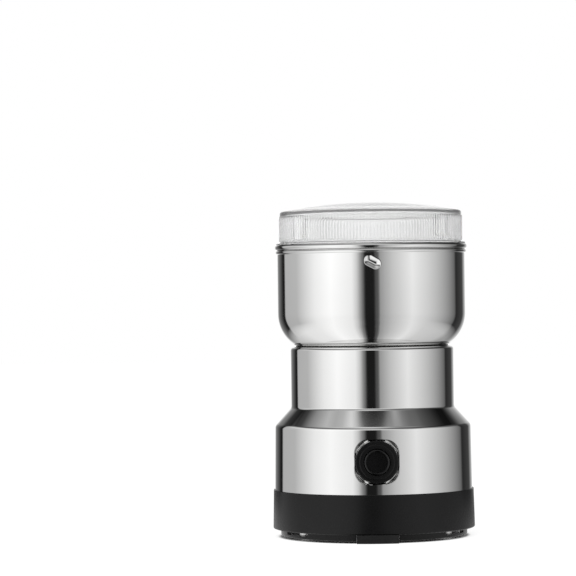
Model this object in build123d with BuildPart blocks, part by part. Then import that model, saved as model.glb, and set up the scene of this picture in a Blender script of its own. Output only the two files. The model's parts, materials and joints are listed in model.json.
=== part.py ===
from build123d import *
import os
from math import atan2, cos, degrees, hypot, pi, radians, sin, sqrt

# Electric spice grinder with a push button: a drawn steel bowl with twin blades stands on a steel housing
# that holds a brushed motor, over a moulded base, and a clear ribbed lid screws down under three dimples.
# Millimetres, +Z up. The origin is on the motor's axis where the feet meet the table; the button is at -Y.

os.makedirs("parts", exist_ok=True)

# ------------------------------------------------------------------------------------ driving sizes
# heights, stacked from the table up
foot_height = 4.4
base_height = 20.0
rebate_depth = 2.4  # the steel housing stands this far down in the base ring
body_height = 35.4  # lower steel body, up to the corner of the shoulder
shoulder_height = 9.3
neck_height = 31.3
bowl_gap = 0.25  # between the bowl's curved underside and the neck's flange
bowl_height = 48.1  # outside, from the floor to the rim
lower_bead_height = 3.0
curl_radius = 1.0  # rolled edge at the top of the bowl
lid_lip_height = 0.7
lid_wall_height = 16.3
lid_crown_rise = 4.5
lid_skirt_depth = 18.6

# radii
base_radius = 52.1
base_flare = 0.4  # the base ring is this much slimmer at its top
base_lip = 1.05  # the base ring stands this far outside the steel body
body_taper = 0.5  # the steel body is this much slimmer at its shoulder
neck_radius = 42.15
bowl_radius = 48.5
bowl_corner = 17.0
lower_bead_swell = 0.8
shell_flange = 5.65  # breadth of the flange that the bowl stands on
shoulder_bend = 3.4
neck_bend = 2.2
flange_bend = 1.8
lid_rib_inset = 1.15  # the lid's ribs stand this far inside the bowl's wall
lid_rib_depth = 0.35
lid_rib_count = 180

# walls and sheets
steel_sheet = 0.8
moulded_wall = 2.5
lid_wall = 2.4

# clearances
seat_fit = 0.1  # beside pieces that stand in a rebate or a hole
slide_fit = 0.25  # round the button and the plunger
turn_fit = 0.4  # between the lid's ridges and the bowl
bearing_fit = 0.05
air_gap = 0.35  # between the armature and the poles
screw_fit = 0.05
wall_bite = 0.5  # ribs and bosses run this far into the walls that they join

# front button
button_height = 40.8
button_radius = 6.35
button_travel = 3.0
button_flange_step = 1.35  # room round the button for its retaining flange
barrel_wall = 0.7
collar_step = 0.45  # the bezel's collar is this much wider than its barrel
bezel_step = 1.95  # and its flange this much wider than the collar
pocket_depth = 2.0  # pressed flat behind the front of the body
pocket_margin = 0.15  # beside the bezel
pocket_corner = 7.0
pocket_draft = 12.0

# dimples that hold the lid
dimple_count = 3
dimple_below_rim = 9.8
dimple_length = 9.0
dimple_width = 5.3
dimple_depth = 1.2
dimple_slant = 28.0

# motor
shaft_radius = 3.0
shaft_end_radius = 2.45
bearing_wall = 3.0
bearing_boss_wall = 3.0
stack_height = 22.0
winding_head = 7.0  # from the commutator to the stack
winding_room = 8.0  # from the stack to the upper frame
armature_radius = 13.75
armature_slots = 12
pole_shoe = 3.2
pole_width = 14.0
pole_span = 58.0  # half of the angle that a pole shoe covers
coil_thickness = 3.4
coil_tuck = 0.9  # the coils start this far behind the shoes' crowns
coil_side = 7.2  # a coil's breadth beside its pole
coil_overhang = 7.5  # above and below the stack
coil_clear = 0.3
coil_back = 0.2  # between the coils and the yoke
coil_room = 2.5  # free beside the coils in the stack's window
yoke_wall = 7.0
yoke_side = 5.0
commutator_radius = 8.0
commutator_length = 11.5
motor_bolt_radius = 1.9
motor_bolt_inset = 4.0  # from the stack's sides
fan_radius = 22.0
fan_blades = 11
brush_size = 5.0

# blades
blade_reach = 34.0
blade_root = 6.8  # half of an arm's breadth at the shaft
blade_belly = 7.2  # from the arm's middle line to its curved cutting edge
blade_sheet = 1.5
lower_blade_drop = 2.5
upper_blade_rise = 7.0

# ------------------------------------------------------------------------------------ derived places
ring_bottom = foot_height
ring_top = ring_bottom + base_height
shell_bottom = ring_top - rebate_depth
shoulder_bottom = shell_bottom + body_height
shoulder_top = shoulder_bottom + shoulder_height
shell_top = shoulder_top + neck_height
flange_inner = neck_radius - shell_flange
flange_overhang = max(flange_inner - (bowl_radius - bowl_corner), 0)  # of the flange's edge, past the flat floor
bowl_bottom = shell_top + bowl_gap - (bowl_corner - sqrt(bowl_corner**2 - flange_overhang**2))
bowl_floor = bowl_bottom + steel_sheet
bead_bottom = bowl_bottom + bowl_height
curl_bottom = bead_bottom + lower_bead_height
rim_top = curl_bottom + 2 * curl_radius
bowl_inner = bowl_radius - steel_sheet
lid_wall_bottom = rim_top + lid_lip_height
lid_edge = lid_wall_bottom + lid_wall_height
lid_top = lid_edge + lid_crown_rise
body_bottom_radius = base_radius - base_lip
body_top_radius = body_bottom_radius - body_taper
shell_inner = body_bottom_radius - steel_sheet
neck_inner = neck_radius - steel_sheet
lid_rib_radius = bowl_radius - lid_rib_inset
barrel_wide = button_radius + button_flange_step
barrel_radius = barrel_wide + barrel_wall
collar_radius = barrel_radius + collar_step
bezel_radius = collar_radius + bezel_step

UP = (Align.CENTER, Align.CENTER, Align.MIN)


def body_radius_at(height):
    """Outer radius of the tapered steel body."""
    return body_bottom_radius - body_taper * (height - shell_bottom) / body_height


def turned(outline, mode=Mode.ADD):
    """Turn a closed section about Z; each corner is (radius, height, rounding)."""
    with BuildSketch(Plane.XZ) as section:
        with BuildLine():
            corners = [(r, z) for r, z, _ in outline]
            FilletPolyline(corners, radius=[rounding for _, _, rounding in outline], close=True)
        make_face()
    revolve(section.sketch, axis=Axis.Z, mode=mode)


def ring(inner, outer, bottom, top, rounding=0.0, mode=Mode.ADD):
    """Plain ring about Z with its outer edges rounded."""
    outline = [(inner, bottom, 0), (outer, bottom, rounding), (outer, top, rounding), (inner, top, 0)]
    turned(outline, mode)


def square_end(end, normal, thickness):
    """Inner corner of a sheet's end, cut level on a standing wall and upright on a lying one."""
    if abs(normal[0]) > abs(normal[1]):
        return (end[0] + thickness / normal[0], end[1], 0)
    return (end[0], end[1] + thickness / normal[1], 0)


def drawn_sheet(path, bends, thickness):
    """Closed section of bent sheet: path is its outer side, bends are the radii of its inner corners."""
    steps = [(b[0] - a[0], b[1] - a[1]) for a, b in zip(path, path[1:])]
    lengths = [hypot(dr, dz) for dr, dz in steps]
    normals = [(-dz / length, dr / length) for (dr, dz), length in zip(steps, lengths)]
    inside = [square_end(path[0], normals[0], thickness)]
    for corner, before, after, bend in zip(path[1:-1], normals, normals[1:], bends):
        mitre = thickness / (1 + before[0] * after[0] + before[1] * after[1])
        left_turn = before[0] * after[1] - before[1] * after[0] > 0
        inner_bend = bend - thickness if left_turn else bend + thickness
        point_r = corner[0] + mitre * (before[0] + after[0])
        point_z = corner[1] + mitre * (before[1] + after[1])
        inside.append((point_r, point_z, inner_bend))
    inside.append(square_end(path[-1], normals[-1], thickness))
    outside = [(r, z, bend) for (r, z), bend in zip(path, [0, *bends, 0])]
    return outside + inside[::-1]


def domed(radius, bottom, edge, crown, rounding, mode):
    """Round block with a domed top that rises from edge to crown."""
    sphere = (radius**2 + (crown - edge) ** 2) / (2 * (crown - edge))
    half_way = crown - sphere + sqrt(sphere**2 - (radius / 2) ** 2)
    with BuildSketch(Plane.XZ) as section:
        with BuildLine():
            Polyline((0, crown), (0, bottom), (radius, bottom), (radius, edge))
            ThreePointArc((radius, edge), (radius / 2, half_way), (0, crown))
        make_face()
        corner = section.vertices().sort_by(Axis.X)[-2:].sort_by(Axis.Y)[-1]
        fillet(corner, radius=rounding)
    revolve(section.sketch, axis=Axis.Z, mode=mode)


def coil(start, direction, radius, length, turns, wire):
    """Compression spring of round wire; direction points along its axis."""
    pitch = length / turns
    path = Helix(pitch, length, radius, center=start, direction=direction, mode=Mode.PRIVATE)
    with BuildSketch(Plane(origin=path @ 0, z_dir=path % 0)) as section:
        Circle(wire)
    sweep(section.sketch, path=path)


# ------------------------------------------------------------------------------------ base ring
lip_inner = body_bottom_radius + seat_fit
spigot_outer = shell_inner - 2 * seat_fit
spigot_wall = 2.2
spigot_rise = 10.0  # up inside the steel body
spigot_inner = spigot_outer - spigot_wall
spigot_top = shell_bottom + spigot_rise
spigot_lean = body_taper * spigot_rise / body_height
shelf_depth = 2.0
cover_top = ring_bottom + moulded_wall
ring_inner = base_radius - moulded_wall
boss_inset = 6.9
boss_circle = ring_inner - boss_inset
boss_radius = 3.5
boss_angles = (57.0, 160.0, 200.0, 303.0)
boss_top = 20.0
boss_rib = 1.8
cover_screw_radius = 1.45
cover_screw_length = 12.0
post_radius = 4.2
post_rib = 2.4
post_top = 34.0
post_hole_depth = 12.0
bracket_screw_radius = 1.45
gland_height = 14.4
gland_half = 6.0  # half the width of the notch that the cord's bush slides into
relief_margin = 3.5
relief_width = 2 * (bezel_radius + relief_margin)
relief_bottom = button_height - bezel_radius - relief_margin


def boss_places():
    """Cover screw places, as angles measured from the front."""
    places = [radians(angle) for angle in boss_angles]
    return [(boss_circle * sin(angle), -boss_circle * cos(angle)) for angle in places]


with BuildPart() as base_ring:
    turned(
        [
            (ring_inner, ring_bottom, 0),
            (base_radius, ring_bottom, 0.7),
            (base_radius - base_flare, ring_top, 0.3),
            (lip_inner, ring_top, 0),
            (lip_inner, shell_bottom, 0),
            (spigot_outer, shell_bottom, 0),
            (spigot_outer - spigot_lean, spigot_top, 0.5),
            (spigot_inner - spigot_lean, spigot_top, 0),
            (spigot_inner, shell_bottom - shelf_depth, 1.0),
            (ring_inner, shell_bottom - 2 * shelf_depth, 1.0),
        ]
    )
    # screw bosses for the cover, each tied to the wall by a rib
    with Locations([(x, y, cover_top) for x, y in boss_places()]):
        Cylinder(boss_radius, boss_top - cover_top, align=UP)
    for x, y in boss_places():
        rib_plane = Plane(origin=(0, 0, cover_top), x_dir=(x, y, 0), z_dir=(0, 0, 1))
        with BuildSketch(rib_plane):
            with Locations(((boss_circle + ring_inner + wall_bite) / 2, 0)):
                Rectangle(ring_inner + wall_bite - boss_circle, boss_rib)
        extrude(amount=boss_top - cover_top)
    # posts that carry the lower motor frame
    with Locations((boss_circle, 0, cover_top), (-boss_circle, 0, cover_top)):
        Cylinder(post_radius, post_top - cover_top, align=UP)
    for side in (1, -1):
        with Locations((side * (boss_circle + spigot_inner + 2 * wall_bite) / 2, 0, cover_top)):
            Box(spigot_inner + 2 * wall_bite - boss_circle, post_rib, spigot_top - cover_top, align=UP)
    with Locations([(x, y, cover_top) for x, y in boss_places()]):
        Cylinder(cover_screw_radius + screw_fit, cover_screw_length, align=UP, mode=Mode.SUBTRACT)
    with Locations((boss_circle, 0, post_top), (-boss_circle, 0, post_top)):
        Cylinder(bracket_screw_radius + screw_fit, 2 * post_hole_depth, mode=Mode.SUBTRACT)
    # relief for the switch and the pressed pocket, and the notch that the cord's bush slides up into
    with Locations((0, -spigot_inner, relief_bottom)):
        Box(relief_width, 4 * moulded_wall, spigot_rise, align=UP, mode=Mode.SUBTRACT)
    with Locations((0, ring_inner, ring_bottom)):
        notch_height = gland_height + gland_half + seat_fit - ring_bottom
        Box(2 * (gland_half + seat_fit), 4 * moulded_wall, notch_height, align=UP, mode=Mode.SUBTRACT)
base_ring.part.label = "base_ring"
export_step(base_ring.part, "parts/base_ring.step")

# ------------------------------------------------------------------------------------ bottom cover
cover_radius = ring_inner - 2 * seat_fit
rim_inset = 1.3
rim_outer = cover_radius - rim_inset
rim_wall = 2.0
rim_bottom = 1.0
window_angles = (-58.0, 58.0, 180.0 - 25.0, 180.0 + 25.0)
window_height = 2.0
window_width = 19.0
foot_width = 21.0
foot_length = 10.4
foot_taper = 0.4
foot_inner = base_radius - foot_length
foot_angles = (0.0, 125.0, -125.0)
peg_radius = 2.5
peg_inset = 6.0
peg_circle = base_radius - peg_inset
vent_count = 24
vent_length = 15.0
vent_width = 2.4
vent_circle = 19.0
vent_margin = 5.5  # from the vents to the ring that stiffens the cover
stiffener_wall = 2.0
stiffener_height = 2.0
stiffener_radius = vent_circle + vent_length / 2 + vent_margin


def facing(angle):
    """Plane on the table whose X axis points outward, angle degrees round from the front."""
    turn = radians(angle)
    return Plane(origin=(0, 0, 0), x_dir=(sin(turn), -cos(turn), 0), z_dir=(0, 0, 1))


with BuildPart() as bottom_cover:
    ring(0, cover_radius, ring_bottom, cover_top)
    ring(rim_outer - rim_wall, rim_outer, rim_bottom, ring_bottom, 0.4)
    ring(stiffener_radius, stiffener_radius + stiffener_wall, cover_top, cover_top + stiffener_height)
    # room for the feet in the rim, and the windows that let the air in
    for angle in foot_angles:
        with BuildSketch(facing(angle)):
            with Locations((rim_outer - rim_wall, 0)):
                Rectangle(4 * rim_wall, foot_width + 4 * slide_fit)
        extrude(amount=ring_bottom, mode=Mode.SUBTRACT)
    for angle in window_angles:
        with BuildSketch(facing(angle).offset(ring_bottom - window_height)):
            with Locations((rim_outer, 0)):
                Rectangle(4 * rim_wall, window_width)
        extrude(amount=window_height, mode=Mode.SUBTRACT)
    with BuildSketch(Plane.XY.offset(ring_bottom)):
        with PolarLocations(vent_circle, vent_count):
            SlotOverall(vent_length, vent_width)
    extrude(amount=moulded_wall, mode=Mode.SUBTRACT)
    with Locations([(x, y, ring_bottom) for x, y in boss_places()]):
        Cylinder(cover_screw_radius + seat_fit, moulded_wall, align=UP, mode=Mode.SUBTRACT)
    for angle in foot_angles:
        with BuildSketch(facing(angle).offset(ring_bottom)):
            with Locations((peg_circle, 0)):
                Circle(peg_radius + seat_fit)
        extrude(amount=moulded_wall, mode=Mode.SUBTRACT)
bottom_cover.part.label = "bottom_cover"
export_step(bottom_cover.part, "parts/bottom_cover.step")

# ------------------------------------------------------------------------------------ rubber feet
with BuildPart() as foot_ring:
    turned(
        [
            (foot_inner, 0, 0.6),
            (base_radius - foot_taper, 0, 0.6),
            (base_radius, foot_height, 0),
            (foot_inner, foot_height, 0),
        ]
    )

with BuildPart() as rubber_feet:
    for angle in foot_angles:
        with BuildSketch(facing(angle)):
            with Locations(((foot_inner + base_radius) / 2, 0)):
                Rectangle(2 * (base_radius - foot_inner), foot_width)
        extrude(amount=foot_height)
    add(foot_ring.part, mode=Mode.INTERSECT)
    for angle in foot_angles:
        with BuildSketch(facing(angle).offset(foot_height)):
            with Locations((peg_circle, 0)):
                Circle(peg_radius)
        extrude(amount=moulded_wall)
rubber_feet.part.label = "rubber_feet"
export_step(rubber_feet.part, "parts/rubber_feet.step")

# ------------------------------------------------------------------------------------ cover screws
screw_head_radius = 2.9
screw_head_height = 1.9
screw_cross = 3.4
screw_cross_width = 0.7
screw_cross_depth = 0.8

with BuildPart() as cover_screws:
    with Locations([(x, y, ring_bottom) for x, y in boss_places()]):
        Cylinder(cover_screw_radius, cover_screw_length, align=UP)
    with Locations([(x, y, ring_bottom - screw_head_height) for x, y in boss_places()]):
        Cylinder(screw_head_radius, screw_head_height, align=UP)
        Box(screw_cross, screw_cross_width, 2 * screw_cross_depth, mode=Mode.SUBTRACT)
        Box(screw_cross_width, screw_cross, 2 * screw_cross_depth, mode=Mode.SUBTRACT)
cover_screws.part.label = "cover_screws"
export_step(cover_screws.part, "parts/cover_screws.step")

# ------------------------------------------------------------------------------------ steel housing
pocket_half = bezel_radius + pocket_margin
pocket_floor = body_radius_at(button_height) - pocket_depth
pocket_reach = 8.0  # how far the pocket's cutter runs out past the body

with BuildPart() as pocket_backing:
    with BuildSketch(Plane.XZ.offset(pocket_floor - steel_sheet)):
        with Locations((0, button_height)):
            side = 2 * (pocket_half + steel_sheet)
            RectangleRounded(side, side, pocket_corner + steel_sheet)
    extrude(amount=pocket_reach, taper=-pocket_draft)
    turned(
        [
            (0, shell_bottom, 0),
            (body_bottom_radius, shell_bottom, 0),
            (body_top_radius, shoulder_bottom, 0),
            (0, shoulder_bottom, 0),
        ],
        Mode.INTERSECT,
    )

with BuildPart() as housing_shell:
    turned(
        drawn_sheet(
            path=[
                (body_bottom_radius, shell_bottom),
                (body_top_radius, shoulder_bottom),
                (neck_radius, shoulder_top),
                (neck_radius, shell_top),
                (flange_inner, shell_top),
            ],
            bends=[shoulder_bend, neck_bend, flange_bend],
            thickness=steel_sheet,
        )
    )
    add(pocket_backing.part)
    with BuildSketch(Plane.XZ.offset(pocket_floor)):
        with Locations((0, button_height)):
            RectangleRounded(2 * pocket_half, 2 * pocket_half, pocket_corner)
    extrude(amount=pocket_reach, taper=-pocket_draft, mode=Mode.SUBTRACT)
    with BuildSketch(Plane.XZ.offset(pocket_floor)):
        with Locations((0, button_height)):
            Circle(barrel_radius + seat_fit)
    extrude(amount=3 * steel_sheet, both=True, mode=Mode.SUBTRACT)
housing_shell.part.label = "housing_shell"
export_step(housing_shell.part, "parts/housing_shell.step")

# ------------------------------------------------------------------------------------ bowl
shaft_hole_radius = 8.0
dimple_height = rim_top - dimple_below_rim
dimple_cross = ((dimple_width / 2) ** 2 + dimple_depth**2) / (2 * dimple_depth)
dimple_long = ((dimple_length / 2) ** 2 + dimple_depth**2) / (2 * dimple_depth)
dimple_axis = bowl_radius + dimple_cross - dimple_depth
slant_dir = (cos(radians(dimple_slant)), 0, -sin(radians(dimple_slant)))
slant_normal = (sin(radians(dimple_slant)), 0, cos(radians(dimple_slant)))


def dimple_punch(growth):
    """Spindle that presses one dimple in at the front; growth is added all over it."""
    punch_plane = Plane(origin=(0, -dimple_axis, dimple_height), x_dir=slant_dir, z_dir=slant_normal)
    crest = dimple_cross + growth
    half_length = sqrt((dimple_long + growth) ** 2 - (dimple_long - dimple_cross) ** 2)
    with BuildSketch(punch_plane) as lens:
        with BuildLine():
            ThreePointArc((-half_length, 0), (0, crest), (half_length, 0))
            Line((half_length, 0), (-half_length, 0))
        make_face()
    revolve(lens.sketch, axis=Axis((0, -dimple_axis, dimple_height), slant_dir))


with BuildPart() as dimple_recess:
    dimple_punch(0)

with BuildPart() as dimple_bump:
    dimple_punch(steel_sheet)
    with Locations((0, 0, dimple_height)):
        Cylinder(bowl_radius, 4 * dimple_width, mode=Mode.INTERSECT)

with BuildPart() as bowl:
    turned(
        drawn_sheet(
            path=[
                (shaft_hole_radius, bowl_bottom),
                (bowl_radius, bowl_bottom),
                (bowl_radius, curl_bottom + curl_radius),
            ],
            bends=[bowl_corner],
            thickness=steel_sheet,
        )
    )
    # double rim: a swelled bead, and the rolled edge above it
    with BuildSketch(Plane.XZ):
        with BuildLine():
            middle = bead_bottom + lower_bead_height / 2
            ThreePointArc(
                (bowl_radius, bead_bottom),
                (bowl_radius + lower_bead_swell, middle),
                (bowl_radius, curl_bottom),
            )
            Polyline(
                (bowl_radius, curl_bottom),
                (bowl_inner + steel_sheet / 2, curl_bottom),
                (bowl_inner + steel_sheet / 2, bead_bottom),
                (bowl_radius, bead_bottom),
            )
        make_face()
        with Locations((bowl_inner + curl_radius, curl_bottom + curl_radius)):
            Circle(curl_radius)
    revolve(axis=Axis.Z)
    with PolarLocations(0, dimple_count):
        add(dimple_bump.part)
    with PolarLocations(0, dimple_count):
        add(dimple_recess.part, mode=Mode.SUBTRACT)
bowl.part.label = "bowl"
export_step(bowl.part, "parts/bowl.step")

# ------------------------------------------------------------------------------------ bowl gasket
gasket_inset = 0.4  # from the flange's edge
gasket_setback = 2.3  # behind the neck
gasket_height = 3.0  # before it is squeezed to the bowl's curve
gasket_inner = flange_inner + gasket_inset
gasket_outer = neck_radius - gasket_setback

with BuildPart() as bowl_gasket:
    with BuildSketch(Plane.XZ):
        with Locations((gasket_inner, shell_top)):
            Rectangle(gasket_outer - gasket_inner, gasket_height, align=(Align.MIN, Align.MIN))
        with Locations((bowl_radius - bowl_corner, bowl_bottom + bowl_corner)):
            Circle(bowl_corner, mode=Mode.SUBTRACT)
    revolve(axis=Axis.Z)
bowl_gasket.part.label = "bowl_gasket"
export_step(bowl_gasket.part, "parts/bowl_gasket.step")

# ------------------------------------------------------------------------------------ shaft seal
seal_flange_radius = 10.0
seal_flange_height = 2.0
seal_drop = 2.5  # below the bowl
seal_bevel = 0.6
seal_lip = 2.0
seal_top = bowl_floor + seal_flange_height
seal_bottom = bowl_bottom - seal_drop
shaft_bore = shaft_radius + bearing_fit

with BuildPart() as shaft_seal:
    turned(
        [
            (shaft_bore, seal_bottom, 0),
            (shaft_hole_radius - seat_fit, seal_bottom, 0.5),
            (shaft_hole_radius - seat_fit, bowl_floor, 0),
            (seal_flange_radius, bowl_floor, 0),
            (seal_flange_radius - seal_bevel, seal_top - seal_bevel, 0.5),
            (shaft_bore + seal_lip, seal_top, 0.4),
            (shaft_bore, seal_top, 0),
        ]
    )
shaft_seal.part.label = "shaft_seal"
export_step(shaft_seal.part, "parts/shaft_seal.step")

# ------------------------------------------------------------------------------------ motor heights
lower_plate = 4.0
lower_plate_bottom = post_top
lower_plate_top = lower_plate_bottom + lower_plate
washer_room = 1.5  # between the lower frame and the commutator
commutator_bottom = lower_plate_top + washer_room
commutator_top = commutator_bottom + commutator_length
stack_bottom = commutator_top + winding_head
stack_top = stack_bottom + stack_height
frame_plate = 3.0
frame_plate_bottom = stack_top + winding_room

# ------------------------------------------------------------------------------------ studs and nuts
stud_radius = 2.0
stud_inset = 6.5  # inside the neck's flange
stud_circle = flange_inner - stud_inset
stud_end = 0.8  # below its nut
nut_flats = 7.0
nut_height = 3.2
stud_length = bowl_bottom - frame_plate_bottom + nut_height + stud_end

with BuildPart() as mount_studs:
    with PolarLocations(stud_circle, 3):
        with Locations((0, 0, bowl_bottom - stud_length)):
            Cylinder(stud_radius, stud_length, align=UP)
mount_studs.part.label = "mount_studs"
export_step(mount_studs.part, "parts/mount_studs.step")

with BuildPart() as mount_nuts:
    with BuildSketch(Plane.XY.offset(frame_plate_bottom - nut_height)):
        with PolarLocations(stud_circle, 3):
            RegularPolygon(nut_flats / 2, 6, major_radius=False)
            Circle(stud_radius + screw_fit, mode=Mode.SUBTRACT)
    extrude(amount=nut_height)
mount_nuts.part.label = "mount_nuts"
export_step(mount_nuts.part, "parts/mount_nuts.step")

# ------------------------------------------------------------------------------------ upper motor frame
frame_gap = 1.15  # beside the neck
frame_ring_outer = neck_inner - frame_gap
frame_ring_wall = 2.8
frame_top = shell_top - steel_sheet
frame_rib = 1.8
frame_rib_rise = 2.5
frame_rib_count = 8
bearing_outer = shaft_radius + bearing_wall
bearing_boss_radius = bearing_outer + bearing_boss_wall
bearing_lift = 0.2  # off the plate's lower side
bearing_rim = 0.3  # the boss stands this far above its bearing
seal_gap = 0.8  # between the bearing and the seal
shaft_room = 2.0  # round the shaft under the bearing
stud_boss_wall = 2.5
leg_wall = 2.3
leg_radius = motor_bolt_radius + leg_wall
bolt_grip = 1.5  # of the bolts' ends in the plate
top_bearing_bottom = frame_plate_bottom + bearing_lift
top_bearing_top = seal_bottom - seal_gap
bore_radius = armature_radius + air_gap
shoe_radius = bore_radius + pole_shoe
coil_inner_x = shoe_radius - coil_tuck
coil_outer_x = coil_inner_x + coil_thickness
coil_half_y = pole_width / 2 + coil_clear + coil_side
yoke_x = coil_outer_x + coil_back
yoke_y = coil_half_y + coil_room
stack_width = 2 * (yoke_x + yoke_wall)
stack_depth = 2 * (yoke_y + yoke_side)
motor_bolt_x = stack_width / 2 - motor_bolt_inset
motor_bolt_y = stack_depth / 2 - motor_bolt_inset
bolt_places = [(x, y) for x in (-motor_bolt_x, motor_bolt_x) for y in (-motor_bolt_y, motor_bolt_y)]

with BuildPart() as top_bracket:
    ring(0, frame_ring_outer, frame_plate_bottom, frame_plate_bottom + frame_plate)
    ring(frame_ring_outer - frame_ring_wall, frame_ring_outer, frame_plate_bottom, frame_top)
    ring(0, bearing_boss_radius, frame_plate_bottom, top_bearing_top + bearing_rim)
    # ribs between the boss and the rim, lower than the bowl's floor
    rib_start = bearing_boss_radius - wall_bite
    rib_end = frame_ring_outer - frame_ring_wall + wall_bite
    with PolarLocations((rib_start + rib_end) / 2, frame_rib_count, start_angle=180 / frame_rib_count):
        with Locations((0, 0, frame_plate_bottom)):
            Box(rib_end - rib_start, frame_rib, frame_plate + frame_rib_rise, align=UP)
    with PolarLocations(stud_circle, 3):
        with Locations((0, 0, frame_plate_bottom)):
            Cylinder(stud_radius + stud_boss_wall, bowl_bottom - frame_plate_bottom, align=UP)
    with Locations([(x, y, stack_top) for x, y in bolt_places]):
        Cylinder(leg_radius, winding_room + wall_bite, align=UP)
    with Locations((0, 0, top_bearing_bottom)):
        Cylinder(bearing_outer + screw_fit, bowl_bottom - top_bearing_bottom, align=UP, mode=Mode.SUBTRACT)
    with Locations((0, 0, frame_plate_bottom)):
        Cylinder(shaft_radius + shaft_room, 2 * frame_plate, mode=Mode.SUBTRACT)
    with PolarLocations(stud_circle, 3):
        with Locations((0, 0, frame_plate_bottom - wall_bite)):
            stud_hole_height = bowl_bottom - frame_plate_bottom + 2 * wall_bite
            Cylinder(stud_radius + seat_fit, stud_hole_height, align=UP, mode=Mode.SUBTRACT)
    with Locations([(x, y, stack_top) for x, y in bolt_places]):
        bolt_hole_height = winding_room + bolt_grip + wall_bite
        Cylinder(motor_bolt_radius + screw_fit, bolt_hole_height, align=UP, mode=Mode.SUBTRACT)
top_bracket.part.label = "top_bracket"
export_step(top_bracket.part, "parts/top_bracket.step")

# ------------------------------------------------------------------------------------ lower motor frame
lower_boss_drop = 3.0
lower_boss_bottom = lower_plate_bottom - lower_boss_drop
plate_margin = 1.0  # beside the posts
hub_margin = 4.0  # beside the bearing's boss
bracket_screw_length = 11.0
bolt_head_radius = 3.4
bolt_head_height = 2.8

with BuildPart() as bottom_bracket:
    with BuildSketch(Plane.XY.offset(lower_plate_bottom)):
        SlotCenterToCenter(2 * boss_circle, 2 * (post_radius + plate_margin))
        Circle(bearing_boss_radius + hub_margin)
        diagonal = hypot(motor_bolt_x, motor_bolt_y)
        slope = degrees(atan2(motor_bolt_y, motor_bolt_x))
        SlotCenterToCenter(2 * diagonal, 2 * leg_radius, rotation=slope)
        SlotCenterToCenter(2 * diagonal, 2 * leg_radius, rotation=-slope)
    extrude(amount=lower_plate)
    ring(0, bearing_boss_radius, lower_boss_bottom, lower_plate_top)
    with Locations([(x, y, lower_plate_bottom) for x, y in bolt_places]):
        Cylinder(leg_radius, stack_bottom - lower_plate_bottom, align=UP)
    with Locations((0, 0, lower_boss_bottom)):
        Cylinder(bearing_outer + screw_fit, 2 * (lower_plate + lower_boss_drop), align=UP, mode=Mode.SUBTRACT)
    with Locations([(x, y, lower_plate_bottom) for x, y in bolt_places]):
        Cylinder(motor_bolt_radius + screw_fit, stack_top - lower_plate_bottom, align=UP, mode=Mode.SUBTRACT)
    with Locations((boss_circle, 0, lower_plate_bottom), (-boss_circle, 0, lower_plate_bottom)):
        Cylinder(bracket_screw_radius + seat_fit, 2 * lower_plate, align=UP, mode=Mode.SUBTRACT)
bottom_bracket.part.label = "bottom_bracket"
export_step(bottom_bracket.part, "parts/bottom_bracket.step")

with BuildPart() as bracket_screws:
    bracket_screw_bottom = lower_plate_top - bracket_screw_length
    with Locations((boss_circle, 0, bracket_screw_bottom), (-boss_circle, 0, bracket_screw_bottom)):
        Cylinder(bracket_screw_radius, bracket_screw_length, align=UP)
    with Locations((boss_circle, 0, lower_plate_top), (-boss_circle, 0, lower_plate_top)):
        Cylinder(screw_head_radius, screw_head_height, align=UP)
bracket_screws.part.label = "bracket_screws"
export_step(bracket_screws.part, "parts/bracket_screws.step")

with BuildPart() as motor_bolts:
    with Locations([(x, y, lower_plate_bottom) for x, y in bolt_places]):
        Cylinder(motor_bolt_radius, frame_plate_bottom + bolt_grip - lower_plate_bottom, align=UP)
    with BuildSketch(Plane.XY.offset(lower_plate_bottom)):
        with Locations(bolt_places):
            RegularPolygon(bolt_head_radius, 6)
    extrude(amount=-bolt_head_height)
motor_bolts.part.label = "motor_bolts"
export_step(motor_bolts.part, "parts/motor_bolts.step")

# ------------------------------------------------------------------------------------ bearings
with BuildPart() as top_bearing:
    ring(shaft_bore, bearing_outer, top_bearing_bottom, top_bearing_top, 0.4)
top_bearing.part.label = "top_bearing"
export_step(top_bearing.part, "parts/top_bearing.step")

with BuildPart() as bottom_bearing:
    ring(shaft_bore, bearing_outer, lower_boss_bottom, lower_plate_top, 0.4)
bottom_bearing.part.label = "bottom_bearing"
export_step(bottom_bearing.part, "parts/bottom_bearing.step")

# ------------------------------------------------------------------------------------ stator
stack_corner = 6.0
yoke_corner = 3.0
coil_corner = 4.5
coil_bore_corner = 0.8

with BuildPart() as stator_core:
    with BuildSketch(Plane.XY.offset(stack_bottom)):
        RectangleRounded(stack_width, stack_depth, stack_corner)
        RectangleRounded(2 * yoke_x, 2 * yoke_y, yoke_corner, mode=Mode.SUBTRACT)
        for side in (1, -1):
            with BuildSketch(mode=Mode.PRIVATE) as shoe:
                Circle(shoe_radius)
                with Locations((-side * shoe_radius + side * bore_radius * cos(radians(pole_span)), 0)):
                    Rectangle(2 * shoe_radius, 2 * shoe_radius, mode=Mode.SUBTRACT)
            add(shoe.sketch)
            with Locations((side * (bore_radius + yoke_x + wall_bite) / 2, 0)):
                Rectangle(yoke_x + wall_bite - bore_radius, pole_width)
        Circle(bore_radius, mode=Mode.SUBTRACT)
        with Locations(bolt_places):
            Circle(motor_bolt_radius + seat_fit, mode=Mode.SUBTRACT)
    extrude(amount=stack_height)
stator_core.part.label = "stator_core"
export_step(stator_core.part, "parts/stator_core.step")

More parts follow.
